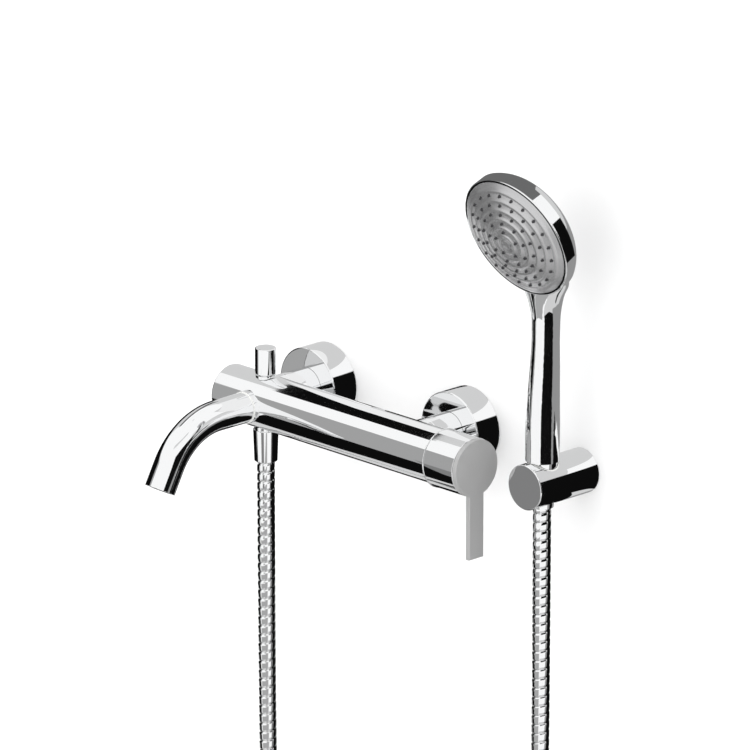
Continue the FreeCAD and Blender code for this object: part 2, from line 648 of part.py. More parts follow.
def spout_run(name, radius):
    """Straight, bend and straight of the spout at one radius, as one solid."""
    start = ("-outlet_side", f"-axis_reach - {SEAL_END}", "0")
    first = rod(name + "_first", radius, f"spout_straight - {SEAL_END}", start, OUT)
    bend = doc.addObject("Part::Torus", name + "_bend")
    bind(bend, "Radius1", "spout_bend_r")
    bind(bend, "Radius2", radius)
    bind(bend, "Angle3", "spout_bend_angle")
    # own X points up and own Y away from the wall, so that the bend turns downwards
    put(bend, ("-outlet_side", "-axis_reach - spout_straight", "-spout_bend_r"),
        Rotation(Vector(0, 0, 1), Vector(0, -1, 0), Vector(1, 0, 0), "XYZ"))
    last = rod(name + "_last", radius, "spout_drop", BEND_END, angle=TIP_ANGLE)
    return fuse(name, [first, bend, last])


def spout():
    """The bent tube, its seal and the aerator in its mouth."""
    outside, inside = spout_run("spout_outside", "spout_r"), spout_run("spout_inside", "spout_bore_r")
    node("spout_tube", cut("spout", outside, inside))
    node("spout_seal", tube("spout_seal", "spout_r + spout_seal_proud", "spout_bore_r", "spout_boss_reach",
                            SEAL_END, OUTLET, OUT))
    low, high = "spout_drop - aerator_inset - aerator_length", "spout_drop - aerator_inset"
    ledge_r, ledge_top = "aerator_bore_r - aerator_ledge", f"{low} + aerator_ledge_thick"
    node("aerator_housing", turned("aerator_housing", [
        (ledge_r, low), ("spout_bore_r", low), ("spout_bore_r", high), ("aerator_bore_r", high),
        ("aerator_bore_r", ledge_top), (ledge_r, ledge_top)], BEND_END, None, angle=TIP_ANGLE))
    screen_front = f"{high} - screen_inset"
    screen = tube("screen_disc", "aerator_bore_r", "screen_hole_r", f"{screen_front} - screen_thick",
                  screen_front, ("0", "0", "0"), UP)
    holes = []
    for ring, count in enumerate(SCREEN_HOLES, start=1):
        for i in range(count):
            turn = f"{360.0 * i / count} deg"
            reach = f"{ring} * screen_ring_step"
            holes.append(rod(f"screen_hole_{ring}_{i}", "screen_hole_r", "spout_drop + cut_past",
                             (f"{reach} * cos({turn})", f"{reach} * sin({turn})", "0"), UP))
    pierced = cut("pierced_screen", screen, fuse("screen_holes", holes))
    put(pierced, BEND_END, angle=TIP_ANGLE)
    node("aerator_screen", pierced)


spout()


# ---------------------------------------------------------------- diverter
def diverter():
    """Pull knob, rod and seal, the bonnet that guides them and the spring between."""
    rim_top = "body_r + bonnet_rim"
    neck_top = "knob_low - run_gap"
    bored = "rod_r + run_gap"
    node("diverter_bonnet", turned("diverter_bonnet", [
        (bored, "bonnet_low"), ("bonnet_r", "bonnet_low"), ("bonnet_r", rim_top), ("bonnet_neck_r", rim_top),
        ("bonnet_neck_r", neck_top), (bored, neck_top)], OUTLET, UP))
    knob_top = "knob_low + knob_height"
    node("diverter_knob", turned("diverter_knob", [
        ("rod_r", "knob_low"), ("knob_r", "knob_low"), ("knob_r", knob_top), ("0", knob_top),
        ("0", "rod_top"), ("rod_r", "rod_top")], OUTLET, UP, [(1, "edge_round"), (2, "knob_round")]))
    node("diverter_rod", rod("divert_rod", "rod_r", "rod_bottom + rod_top",
                             ("-outlet_side", "-axis_reach", "-rod_bottom"), UP))
    seal_place = ("-outlet_side", "-axis_reach", "-rod_bottom")
    node("diverter_seal", tube("diverter_seal", "seal_r", "rod_r", "0", "seal_thick", seal_place, UP))

    low = -size("rod_bottom") + size("seal_thick") + size("spring_wire_r")
    high = size("bonnet_low") - size("spring_wire_r")
    pitch = (high - low) / size("spring_turns")
    radius = size("rod_r") + size("spring_gap")
    coil = Part.makeHelix(pitch, high - low, radius)
    wire = Part.Circle(Vector(radius, 0, 0), Vector(0, 1, 0), size("spring_wire_r"))
    spring = doc.addObject("Part::Feature", "coil_spring")
    spring.Shape = Part.Wire(coil.Edges).makePipeShell([Part.Wire(wire.toShape())], True, True)
    spring.Placement = Placement(Vector(-size("outlet_side"), -size("axis_reach"), low), Rotation())
    node("diverter_spring", spring)


diverter()


# ---------------------------------------------------------------- hose and its ends
THREAD_END = "(body_r + hose_thread_length)"
WASHER_END = f"({THREAD_END} + hose_washer_thick)"
HEAD_END = f"({WASHER_END} + ferrule_head_thick)"


def lower_hose_end():
    """Outlet nipple, nut, washer and ferrule under the mixer. Heights run down from the axis."""
    node("shower_outlet_nipple", tube("shower_outlet_nipple", "hose_thread_r", "hose_nipple_bore_r",
                                      "nipple_inside", THREAD_END, OUTLET, DOWN))
    node("hose_washer_lower", tube("hose_washer_lower", "hose_washer_r", "ferrule_bore_r", THREAD_END,
                                   WASHER_END, OUTLET, DOWN))
    node("hose_nut_lower", turned("hose_nut_lower", [
        ("hose_thread_r", "nut_top"), ("nut_top_r", "nut_top"), ("nut_low_r", "nut_low"),
        ("ferrule_r + slide_gap", "nut_low"), ("ferrule_r + slide_gap", HEAD_END),
        ("hose_thread_r", HEAD_END)], OUTLET, DOWN, [(1, "edge_round"), (2, "edge_round")]))
    node("hose_ferrule_lower", turned("hose_ferrule_lower", [
        ("ferrule_bore_r", WASHER_END), ("ferrule_head_r", WASHER_END), ("ferrule_head_r", HEAD_END),
        ("ferrule_r", HEAD_END), ("ferrule_r", "nut_low"), ("ferrule_bore_r", "nut_low")], OUTLET, DOWN))


SEAT = ("holder_side", "-seat_reach", "-holder_drop")
FOOT = ("holder_side", "-seat_reach", "-holder_drop + foot_rise")
UP_THREAD_END = "hose_thread_length"
UP_WASHER_END = f"({UP_THREAD_END} + hose_washer_thick)"
UP_HEAD_START = f"({UP_WASHER_END} + run_gap)"
UP_HEAD_END = f"({UP_HEAD_START} + ferrule_head_thick)"
HOSE_TOP = "(foot_rise + holder_r + ferrule_past)"
CONE_SPAN = "(foot_rise + cone_low)"


def upper_hose_end():
    """Cone nut, washer and ferrule under the hand shower. Heights run down from the handle's foot."""
    node("hose_cone_nut", turned("hose_cone_nut", [
        ("hose_thread_r", "0"), ("cone_top_r", "0"), ("cone_low_r", CONE_SPAN),
        ("ferrule_r + run_gap", CONE_SPAN), ("ferrule_r + run_gap", f"{UP_HEAD_END} + run_gap"),
        ("hose_thread_r", f"{UP_HEAD_END} + run_gap")], FOOT, DOWN))
    node("hose_washer_upper", tube("hose_washer_upper", "hose_washer_r", "ferrule_bore_r", UP_THREAD_END,
                                   UP_WASHER_END, FOOT, DOWN))
    node("hose_ferrule_upper", turned("hose_ferrule_upper", [
        ("ferrule_bore_r", UP_HEAD_START), ("ferrule_head_r", UP_HEAD_START), ("ferrule_head_r", UP_HEAD_END),
        ("ferrule_r", UP_HEAD_END), ("ferrule_r", HOSE_TOP), ("ferrule_bore_r", HOSE_TOP)], FOOT, DOWN))


# The route of the hose, chosen by hand: down from the mixer, round and up to the holder.
HOSE_ROUTE = [
    Vector(-70.0, -69.2, -45.5),
    Vector(-70.0, -69.2, -186.0),
    Vector(-68.6, -68.8, -331.0),
    Vector(-60.5, -67.0, -468.0),
    Vector(-14.0, -62.5, -533.0),
    Vector(60.0, -56.0, -559.0),
    Vector(134.0, -49.0, -532.0),
    Vector(180.5, -43.5, -465.0),
    Vector(188.2, -41.4, -322.0),
    Vector(189.2, -41.0, -168.0),
    Vector(189.2, -41.0, -25.45),
]


def rounded_route(points):
    """Straight runs joined by tangent arcs, each as large as its two runs allow."""
    share = 0.45
    edges, here = [], points[0]
    for before, corner, after in zip(points, points[1:], points[2:]):
        to_corner, from_corner = corner - before, after - corner
        half_turn = to_corner.getAngle(from_corner) / 2
        reach = share * min(to_corner.Length, from_corner.Length)
        radius = reach / math.tan(half_turn)
        to_corner.normalize()
        from_corner.normalize()
        start, end = corner - to_corner * reach, corner + from_corner * reach
        inward = from_corner - to_corner
        inward.normalize()
        middle = corner + inward * (radius / math.cos(half_turn) - radius)
        edges.append(Part.LineSegment(here, start).toShape())
        edges.append(Part.Arc(start, middle, end).toShape())
        print(f"hose turn {math.degrees(2 * half_turn):.1f} degrees, radius {radius:.0f} mm")
        here = end
    edges.append(Part.LineSegment(here, points[-1]).toShape())
    return Part.Wire(edges)


def shower_hose():
    """The free hose as one plain round tube along its route."""
    path = rounded_route(HOSE_ROUTE)
    section = Part.Wire(Part.Circle(HOSE_ROUTE[0], Vector(0, 0, -1), size("hose_r")).toShape())
    hose = doc.addObject("Part::Feature", "hose")
    hose.Shape = path.makePipeShell([section], True, False)
    expected = math.pi * size("hose_r") ** 2 * path.Length
    print(f"hose length {path.Length:.0f} mm, volume over section times length "
          f"{hose.Shape.Volume / expected:.5f}")
    node("shower_hose", hose)


lower_hose_end()
upper_hose_end()
shower_hose()


# ---------------------------------------------------------------- holder
def shower_holder():
    """The holder on its wall plate, with the conical seat, its liner and the way out for the hose."""
    place = ("holder_side", "0", "-holder_drop")
    barrel = turned("holder_barrel", [
        ("holder_recess_r", "0"), ("holder_r", "0"), ("holder_r", "holder_length"), ("0", "holder_length"),
        ("0", "holder_recess"), ("holder_recess_r", "holder_recess")], place, OUT, [(2, "holder_round")])
    span = "(foot_rise + holder_r + cut_past)"
    low = ("holder_side", "-seat_reach", "-holder_drop - holder_r - cut_past")
    slope = f"(cone_top_r - cone_low_r) / {CONE_SPAN}"
    low_r = f"(cone_low_r - (holder_r + cut_past - cone_low) * {slope})"

    def seat_cone(name, extra):
        return cone(name, f"{low_r} + {extra}", f"cone_top_r + {extra}", span, low)

    slot = block("hose_slot", "2 * holder_r", "slot_width", span,
                 ("holder_side - 2 * holder_r", "-seat_reach - slot_width / 2", low[2]))
    grub_place = ("holder_side", "-grub_side", "-holder_drop - plate_boss_r")
    grub_way = rod("grub_way", "grub_r", "holder_r", grub_place, DOWN)
    seat = seat_cone("liner_outside", "(cone_gap + liner_wall)")
    node("holder_body", cut("holder", barrel, fuse("holder_openings", [seat, slot, grub_way])))

    ring = cut("liner_cone", seat_cone("liner_blank", "(cone_gap + liner_wall)"),
               seat_cone("liner_inside", "cone_gap"))
    slit = cut("slit_liner", ring, block("liner_slot", "2 * holder_r", "slot_width", span,
                                         ("holder_side - 2 * holder_r", "-seat_reach - slot_width / 2",
                                          low[2])))
    trim = rod("liner_trim", "holder_r - slide_gap", "holder_length", place, OUT)
    node("holder_liner", common("trimmed_liner", slit, trim))

    disc = rod("plate_disc", "plate_disc_r", "plate_disc_thick", place, OUT)
    boss = rod("plate_boss", "plate_boss_r", "plate_boss_length", place, OUT)
    holes = [rod(f"wall_hole_{side}", "wall_hole_r", "plate_disc_thick",
                 (f"holder_side + {sign} * wall_hole_pitch / 2", "0", "-holder_drop"), OUT)
             for side, sign in (("left", "-1"), ("right", "1"))]
    node("holder_wall_plate", cut("wall_plate", fuse("plate_blank", [disc, boss]), fuse("wall_holes", holes)))
    node("holder_grub_screw", rod("grub_screw", "grub_r", "holder_r - plate_boss_r - grub_inset",
                                  grub_place, DOWN))


shower_holder()


# ---------------------------------------------------------------- hand shower
HEAD = ("holder_side", "-seat_reach - face_front", "-holder_drop + face_rise")
FACE_ANGLE = "90 + face_tilt"
# handle sections: height above the foot, offset towards the wall, half width, half depth
HANDLE_SECTIONS = [
    (0, 0, 12.35, 12.35), (22, 0.1, 12.35, 12.35), (45, 0.7, 11.75, 11.75), (68, 1.9, 10.85, 10.85),
    (91, 2.6, 10.15, 10.15), (106, 2.7, 10.4, 10.4), (119, 2.0, 13.2, 11.8), (127, 1.0, 17.5, 12.3),
    (134, 0.0, 22.0, 13.0), (148, -6.5, 25.0, 11.5), (160, -13.0, 24.0, 7.0)]
SECTION_SPACING = 7.0

def head_frame():
    """Placement of the head: own Z out of the spray face."""
    centre = Vector(size("holder_side"), -size("seat_reach") - size("face_front"),
                    size("face_rise") - size("holder_drop"))
    return Placement(centre, Rotation(Vector(1, 0, 0), 90 + size("face_tilt")))


def oval(centre, across, deep):
    """A level wire: a circle stretched along X and Y, and always a spline with the same poles."""
    curve = Part.Circle(Vector(), Vector(0, 0, 1), 1).toBSpline()
    for i, pole in enumerate(curve.getPoles(), start=1):
        curve.setPole(i, centre + Vector(pole.x * across, pole.y * deep, 0))
    return Part.Wire(curve.toShape())


def slopes(heights, values):
    """Slopes of a smooth curve through the values, level at a turning point, so that it never overshoots."""
    steps = [(v1 - v0) / (h1 - h0) for h0, h1, v0, v1 in zip(heights, heights[1:], values, values[1:])]
    inner = [0 if a * b <= 0 else 2 * a * b / (a + b) for a, b in zip(steps, steps[1:])]
    return [steps[0]] + inner + [steps[-1]]


def filled_sections(sections, spacing):
    """The chosen sections with others between them on smooth curves, about as far apart as the spacing."""
    heights = [section[0] for section in sections]
    columns = list(zip(*sections))[1:]
    column_slopes = [slopes(heights, column) for column in columns]
    filled = [sections[0]]
    for i, (low, high) in enumerate(zip(heights, heights[1:])):
        span = high - low
        count = max(1, round(span / spacing))
        for k in range(1, count + 1):
            u = k / count
            values = [column[i] * (2 * u ** 3 - 3 * u ** 2 + 1) + column[i + 1] * (3 * u ** 2 - 2 * u ** 3)
                      + span * (slope[i] * (u ** 3 - 2 * u ** 2 + u) + slope[i + 1] * (u ** 3 - u ** 2))
                      for column, slope in zip(columns, column_slopes)]
            filled.append((low + span * u, *values))
    return filled


def handle_loft():
    """The handle as a loft through level sections, up into the head."""
    foot = Vector(size("holder_side"), -size("seat_reach"), size("foot_rise") - size("holder_drop"))
    rings = [oval(foot + Vector(0, back, rise), across, deep)
             for rise, back, across, deep in filled_sections(HANDLE_SECTIONS, SECTION_SPACING)]
    loft = doc.addObject("Part::Feature", "handle_loft")
    loft.Shape = Part.makeLoft(rings, True, False)
    return loft


def head_back():
    """The head's side band and rounded back, turned about the face's axis, from the rim backwards."""
    band, depth, flat = size("head_band"), size("head_depth"), size("head_flat_r")
    radius, rim = size("head_r"), size("rim_thick")
    corner = Vector(radius, 0, -band)
    back = Vector(flat, 0, -depth)
    bulge = Vector(radius - (radius - flat) * size("bulge_in"), 0,
                   -band - (depth - band) * size("bulge_back"))
    edges = [
        Part.LineSegment(Vector(0, 0, -rim), Vector(radius, 0, -rim)).toShape(),
        Part.LineSegment(Vector(radius, 0, -rim), corner).toShape(),
        Part.Arc(corner, bulge, back).toShape(),
        Part.LineSegment(back, Vector(0, 0, -depth)).toShape(),
        Part.LineSegment(Vector(0, 0, -depth), Vector(0, 0, -rim)).toShape(),
    ]
    blank = doc.addObject("Part::Feature", "head_back")
    blank.Shape = Part.Face(Part.Wire(edges)).revolve(Vector(), Vector(0, 0, 1), 360)
    blank.Placement = head_frame()
    return blank


def shower_shell():
    """Handle and head in one piece, hollow for the water way and the spray parts."""
    outside = fuse("shower_outside", [handle_loft(), head_back()])
    cavity = turned("head_hollow", [
        ("0", "0"), ("rim_bore_r", "0"), ("rim_bore_r", "chamber_front"), ("cavity_r", "chamber_front"),
        ("cavity_r", "head_cavity"), ("0", "head_cavity")], HEAD, None, angle="face_tilt - 90")
    front = turned("head_front", [
        ("0", "rim_thick"), ("head_r", "rim_thick"), ("head_r", "-head_depth"), ("0", "-head_depth")],
        HEAD, None, angle="face_tilt - 90")
    way = rod("handle_way", "handle_bore_r", "face_rise - foot_rise - way_stop", FOOT, UP)
    insert_way = rod("insert_way", "insert_r", "insert_length", FOOT, UP)
    node("shower_shell", cut("shell", outside, fuse("shower_hollow", [cavity, front, way, insert_way])))


def domed_ring(name, high_in, low_in, outer, inner):
    """A domed ring between two parallel dome surfaces, given how far each lies inside the face's skin."""
    big = "((rim_bore_r ^ 2 + dome_height ^ 2) / (2 * dome_height))"
    balls = []
    for tag, depth in (("skin", high_in), ("under", low_in)):
        ball = doc.addObject("Part::Sphere", f"{name}_{tag}")
        bind(ball, "Radius", f"{big} - {depth}")
        put(ball, ("0", "0", f"dome_height - {big}"), UP)
        balls.append(ball)
    shell = cut(name + "_shell", balls[0], balls[1])
    return common(name, shell, tube(name + "_edge", outer, inner, "0", "3 * dome_height",
                                    ("0", "0", "-dome_height"), UP))


def nozzle_places():
    """Rings of nozzles about the face's middle, one of each ring straight above it."""
    outermost = size("head_r") - size("cavity_inset") - size("ring_margin")
    step = (outermost - size("ring_first")) / (len(NOZZLES) - 1)
    places = []
    for ring, count in enumerate(NOZZLES):
        radius = size("ring_first") + ring * step
        for i in range(count):
            angle = math.pi / 2 + 2 * math.pi * i / count
            places.append(Vector(radius * math.cos(angle), radius * math.sin(angle), 0))
    return places


def spray_face():
    """Rim ring, domed face, the nozzle mat behind it, the middle button and the chamber plate."""
    node("head_rim", turned("head_rim", [
        ("rim_bore_r", "0"), ("head_r", "0"), ("head_r", "rim_thick"), ("rim_bore_r", "rim_thick")],
        HEAD, None, [(1, "end_round"), (0, "edge_round")], angle="face_tilt - 90"))

    pegs = doc.addObject("Part::Feature", "nozzle_pegs")
    rim_bore_r = size("head_r") - size("rim_width")
    big = (rim_bore_r ** 2 + size("dome_height") ** 2) / (2 * size("dome_height"))
    shapes = []
    for place in nozzle_places():
        skin = math.sqrt(big ** 2 - place.Length ** 2) - big + size("dome_height")
        low = skin - size("face_wall") - size("mat_thick") / 2
        shapes.append(Part.makeCylinder(size("nozzle_r"), skin + size("nozzle_proud") - low,
                                        Vector(place.x, place.y, low)))
    pegs.Shape = Part.makeCompound(shapes)
    face = domed_ring("face_blank", "0", "face_wall", "rim_bore_r", "button_r")
    node("face_plate", cut("face", face, pegs))
    mat = domed_ring("mat_blank", "face_wall", "(face_wall + mat_thick)", "cavity_r",
                     "button_r - button_wall")
    node("nozzle_mat", fuse("mat", [mat, pegs]))
    inner_r, edge, skin = "button_r - button_wall", "face_wall + button_deep", "face_wall + button_skin"
    node("face_button", turned("face_button", [
        ("0", "0"), ("button_r", "0"), ("button_r", edge), (inner_r, edge), (inner_r, skin), ("0", skin)],
        ("0", "0", "dome_height - face_wall"), UP))
    node("chamber_plate", tube("chamber_plate", "rim_bore_r", "handle_bore_r",
                               "chamber_front - chamber_plate", "chamber_front", HEAD, None,
                               angle="face_tilt - 90"))
    for label in ("face_plate", "nozzle_mat", "face_button"):
        local = NODES[label].Placement.Base
        shift = f"cos(face_tilt) * {local.z}", f"sin(face_tilt) * {local.z}"
        put(NODES[label], (HEAD[0], f"{HEAD[1]} - {shift[0]}", f"{HEAD[2]} - {shift[1]}"), angle=FACE_ANGLE)


def shower_inlet():
    """The threaded insert in the handle's foot and the flow limiter in it."""
    thread_low = ("holder_side", "-seat_reach", "-holder_drop + foot_rise - hose_thread_length")
    insert_top = "hose_thread_length + insert_length"
    node("shower_inlet_insert", turned("shower_inlet_insert", [
        ("hose_nipple_bore_r", "0"), ("hose_thread_r", "0"), ("hose_thread_r", "hose_thread_length"),
        ("insert_r", "hose_thread_length"), ("insert_r", insert_top), ("hose_nipple_bore_r", insert_top)],
        thread_low, UP))
    node("flow_limiter", tube("flow_limiter", "hose_nipple_bore_r", "limiter_bore_r", "limiter_inset",
                              "limiter_inset + limiter_length", thread_low, UP))


shower_shell()
spray_face()
shower_inlet()

# ---------------------------------------------------------------- checks and files
doc.recompute()
for obj in doc.Objects:
    if "Invalid" in obj.State or "Error" in obj.State:
        raise RuntimeError(f"{obj.Name} failed: {obj.State}")
os.makedirs("parts", exist_ok=True)
for label, obj in NODES.items():
    shape = obj.Shape
    if shape.isNull() or not shape.isValid() or not shape.Solids:
        raise RuntimeError(f"{label} has no valid solid")
for label, obj in NODES.items():
    obj.Shape.exportStep(f"parts/{label}.step")
print(len(NODES), "pieces written")
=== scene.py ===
# %% [markdown]
# # A wall mounted bath faucet
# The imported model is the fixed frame: every sub-part is already at its place and size.
# This file gives the sub-parts their finishes, models the pieces that need finer shapes
# (the metal hose, the spray face with its nozzles and the lip on the handle's cap),
# and builds the small studio round them.

# %% Load the frame
import json
import math
import bpy
import bmesh
from mathutils import Matrix, Vector

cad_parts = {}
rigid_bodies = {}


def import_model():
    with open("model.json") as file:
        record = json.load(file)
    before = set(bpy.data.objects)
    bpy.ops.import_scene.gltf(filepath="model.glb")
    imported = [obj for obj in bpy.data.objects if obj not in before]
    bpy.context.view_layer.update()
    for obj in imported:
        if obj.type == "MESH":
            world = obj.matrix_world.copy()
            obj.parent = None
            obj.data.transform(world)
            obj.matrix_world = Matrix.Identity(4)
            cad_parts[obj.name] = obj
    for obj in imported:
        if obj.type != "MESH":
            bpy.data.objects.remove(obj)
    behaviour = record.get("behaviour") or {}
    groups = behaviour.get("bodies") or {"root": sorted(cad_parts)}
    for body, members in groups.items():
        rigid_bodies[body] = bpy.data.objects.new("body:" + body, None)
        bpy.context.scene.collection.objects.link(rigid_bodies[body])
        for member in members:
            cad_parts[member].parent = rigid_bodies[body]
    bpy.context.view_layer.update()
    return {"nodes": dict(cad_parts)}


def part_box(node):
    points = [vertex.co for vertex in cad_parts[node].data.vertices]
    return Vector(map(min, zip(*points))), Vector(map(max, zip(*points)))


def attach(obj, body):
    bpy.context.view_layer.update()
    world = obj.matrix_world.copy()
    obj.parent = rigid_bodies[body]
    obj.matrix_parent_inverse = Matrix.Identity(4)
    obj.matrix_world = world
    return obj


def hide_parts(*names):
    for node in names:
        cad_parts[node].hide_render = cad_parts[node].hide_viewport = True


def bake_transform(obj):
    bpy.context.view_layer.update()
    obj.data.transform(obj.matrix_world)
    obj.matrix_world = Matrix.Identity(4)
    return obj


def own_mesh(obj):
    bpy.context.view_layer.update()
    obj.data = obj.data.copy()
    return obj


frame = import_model()
nodes = frame["nodes"]
scene = bpy.context.scene

# %% [markdown]
# ## The camera
# A long lens far away keeps upright edges upright.
# A short lens close by would make the near pieces bigger and the uprights lean.
# It looks from the front right, slightly from above, and aims at a point given across and up.

# %% Camera
AZIMUTH, ELEVATION = math.radians(45.93), math.radians(17.49)
DISTANCE, LENS, SENSOR, SIGHT = 5.906, 384.8, 36, 50
ASIDE, ABOVE = -0.01787, 0.0200

back = Vector((math.sin(AZIMUTH) * math.cos(ELEVATION), -math.cos(AZIMUTH) * math.cos(ELEVATION),
               math.sin(ELEVATION)))
across = Vector((math.cos(AZIMUTH), math.sin(AZIMUTH), 0))
upward = back.cross(across)
camera_data = bpy.data.cameras.new("camera")
camera_data.lens = LENS
camera_data.sensor_width = SENSOR
camera_data.clip_end = SIGHT
camera = bpy.data.objects.new("camera", camera_data)
stand = across * ASIDE + upward * ABOVE + back * DISTANCE
camera.matrix_world = Matrix.Translation(stand) @ Matrix((across, upward, back)).transposed().to_4x4()
scene.collection.objects.link(camera)
scene.camera = camera
print("camera at", [round(v, 3) for v in camera.location])

# %% [markdown]
# ## The hose
# A shower hose is a strip of chromed metal wound into a spiral, each turn hooked into the next.
# What shows is a row of smooth bands with a narrow groove between them, running round as a screw.
# Its line is one NURBS spline through a few given points, which hangs in a single loop.
# A bevelled curve would give a smooth tube, and relief in a material would leave its outline smooth too.
# So the band's section is carried along the line as a screw, and every groove has its own edges.

# %% The hose's line
HOSE_ROUTE = [
    (-0.0700, -0.0692, -0.0455), (-0.0700, -0.0692, -0.1860), (-0.0686, -0.0688, -0.3310),
    (-0.0605, -0.0670, -0.4680), (-0.0140, -0.0625, -0.5330), (0.0600, -0.0560, -0.5590),
    (0.1340, -0.0490, -0.5320), (0.1805, -0.0435, -0.4650), (0.1882, -0.0414, -0.3220),
    (0.1892, -0.0410, -0.1680), (0.1892, -0.0410, -0.02545)]
HOSE_RADIUS = 0.0066


def route_points(route, resolution=40):
    """Points along the NURBS spline of a route, as Blender itself evaluates it."""
    curve = bpy.data.curves.new("hose_line", "CURVE")
    curve.dimensions = "3D"
    curve.resolution_u = resolution
    spline = curve.splines.new("NURBS")
    spline.points.add(len(route) - 1)
    for point, place in zip(spline.points, route):
        point.co = (*place, 1)
    spline.order_u = 3
    spline.use_endpoint_u = True
    carrier = bpy.data.objects.new("hose_line", curve)
    line = bpy.data.meshes.new_from_object(carrier)
    points = [vertex.co.copy() for vertex in line.vertices]
    bpy.data.objects.remove(carrier)
    return points


hose_line = route_points(HOSE_ROUTE)
hose_length = sum((b - a).length for a, b in zip(hose_line, hose_line[1:]))
print("hose line:", len(hose_line), "points,", round(hose_length, 4), "m")

# %% [markdown]
# A section can be carried along a line only if two directions square to the line are known everywhere.
# They are passed on from point to point and turned as little as possible, so the section doesn't twist.

# %% Directions along the line
def frames_along(points):
    """For a length along the line: the place there and two directions square to it, without twist."""
    lengths = [0.0]
    for a, b in zip(points, points[1:]):
        lengths.append(lengths[-1] + (b - a).length)
    tangents = [(points[min(i + 1, len(points) - 1)] - points[max(i - 1, 0)]).normalized()
                for i in range(len(points))]
    side = Vector((1, 0, 0))
    sides = []
    for tangent in tangents:
        side = (side - tangent * side.dot(tangent)).normalized()
        sides.append(side)

    def at(length):
        length = min(max(length, 0.0), lengths[-1])
        low, high = 0, len(lengths) - 1
        while high - low > 1:
            middle = (low + high) // 2
            if lengths[middle] <= length:
                low = middle
            else:
                high = middle
        share = (length - lengths[low]) / (lengths[high] - lengths[low])
        tangent = tangents[low].lerp(tangents[high], share).normalized()
        first = sides[low].lerp(sides[high], share)
        first = (first - tangent * first.dot(tangent)).normalized()
        return points[low].lerp(points[high], share), first, tangent.cross(first)

    return at, lengths[-1]


place_at, line_length = frames_along(hose_line)
print("hose ends at", [round(v, 4) for v in place_at(line_length)[0]])

# %% [markdown]
# The band's section is given once, as shares of one turn and depths below the crest.
# Each corner of it becomes one long screw line round the hose, and neighbouring lines are joined by faces.

# %% The hose's skin
HOSE_PITCH = 0.0070
STEPS_ROUND = 28
WELD = 0.00001
BAND = [(0.00, 0.00055), (0.07, 0.00060), (0.13, 0.00022), (0.20, 0.00004), (0.34, 0.0),
        (0.56, 0.0), (0.74, 0.0), (0.87, 0.00006), (0.94, 0.00026)]


def wound_hose(name, points):
    """The hose's skin: one long screw of bands and grooves, closed at both ends."""
    at, length = frames_along(points)
    mesh = bmesh.new()
    turns = math.ceil(length / HOSE_PITCH) + 1
    count = turns * STEPS_ROUND + 1
    rows = []
    for share, depth in BAND:
        row = []
        for k in range(count):
            angle = 2 * math.pi * k / STEPS_ROUND
            along = (k / STEPS_ROUND - 1 + share) * HOSE_PITCH
            centre, first, second = at(along)
            radius = HOSE_RADIUS - depth
            row.append(mesh.verts.new(centre + (first * math.cos(angle) + second * math.sin(angle)) * radius))
        rows.append(row)
    for row, following in zip(rows, rows[1:]):
        for k in range(count - 1):
            mesh.faces.new((row[k], row[k + 1], following[k + 1], following[k]))
    last, first_row = rows[-1], rows[0]
    for k in range(count - 1 - STEPS_ROUND):
        mesh.faces.new((last[k], last[k + 1], first_row[k + 1 + STEPS_ROUND], first_row[k + STEPS_ROUND]))
    bmesh.ops.remove_doubles(mesh, verts=mesh.verts, dist=WELD)
    bmesh.ops.dissolve_degenerate(mesh, dist=WELD, edges=mesh.edges)
    bmesh.ops.holes_fill(mesh, edges=[edge for edge in mesh.edges if edge.is_boundary], sides=0)
    bmesh.ops.recalc_face_normals(mesh, faces=mesh.faces)
    data = bpy.data.meshes.new(name)
    mesh.to_mesh(data)
    mesh.free()
    for face in data.polygons:
        face.use_smooth = True
    piece = bpy.data.objects.new(name, data)
    scene.collection.objects.link(piece)
    return piece


hose = wound_hose("wound_metal_hose", hose_line)
print("hose:", len(hose.data.polygons), "faces,", round(hose_length / HOSE_PITCH), "turns")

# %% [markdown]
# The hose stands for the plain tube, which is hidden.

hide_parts("shower_hose")
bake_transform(hose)

# %% [markdown]
# ## The finishes
# Most of the faucet is one finish: chrome, which is a mirror with hardly any colour of its own.
# Even new chrome isn't perfect. Its plating is a little uneven and wiping leaves faint patches,
# so its roughness changes slowly over the surface. That effect is a node group, and each finish uses it
# with its own values.

# %% A group for uneven polish
def new_group(name, inputs, outputs):
    """An empty node group with number inputs and the outputs asked for."""
    group = bpy.data.node_groups.new(name, "ShaderNodeTree")
    for label, value in inputs:
        socket = group.interface.new_socket(label, in_out="INPUT", socket_type="NodeSocketFloat")
        socket.default_value = value
    for label, kind in outputs:
        group.interface.new_socket(label, in_out="OUTPUT", socket_type=kind)
    return group, group.nodes.new("NodeGroupInput"), group.nodes.new("NodeGroupOutput")


def math_node(tree, operation, first, second):
    """A math node fed by sockets or plain numbers."""
    node = tree.nodes.new("ShaderNodeMath")
    node.operation = operation
    for socket, value in zip(node.inputs, (first, second)):
        if isinstance(value, (int, float)):
            socket.default_value = value
        else:
            tree.links.new(value, socket)
    return node.outputs["Value"]


def noise_node(tree, place, scale, detail):
    """A noise pattern on object coordinates."""
    node = tree.nodes.new("ShaderNodeTexNoise")
    tree.links.new(place, node.inputs["Vector"])
    if isinstance(scale, (int, float)):
        node.inputs["Scale"].default_value = scale
    else:
        tree.links.new(scale, node.inputs["Scale"])
    node.inputs["Detail"].default_value = detail
    return node.outputs["Fac"]


PATCH_SHARE, GRAIN_SHARE, NOISE_MIDDLE = 0.7, 0.3, 0.5


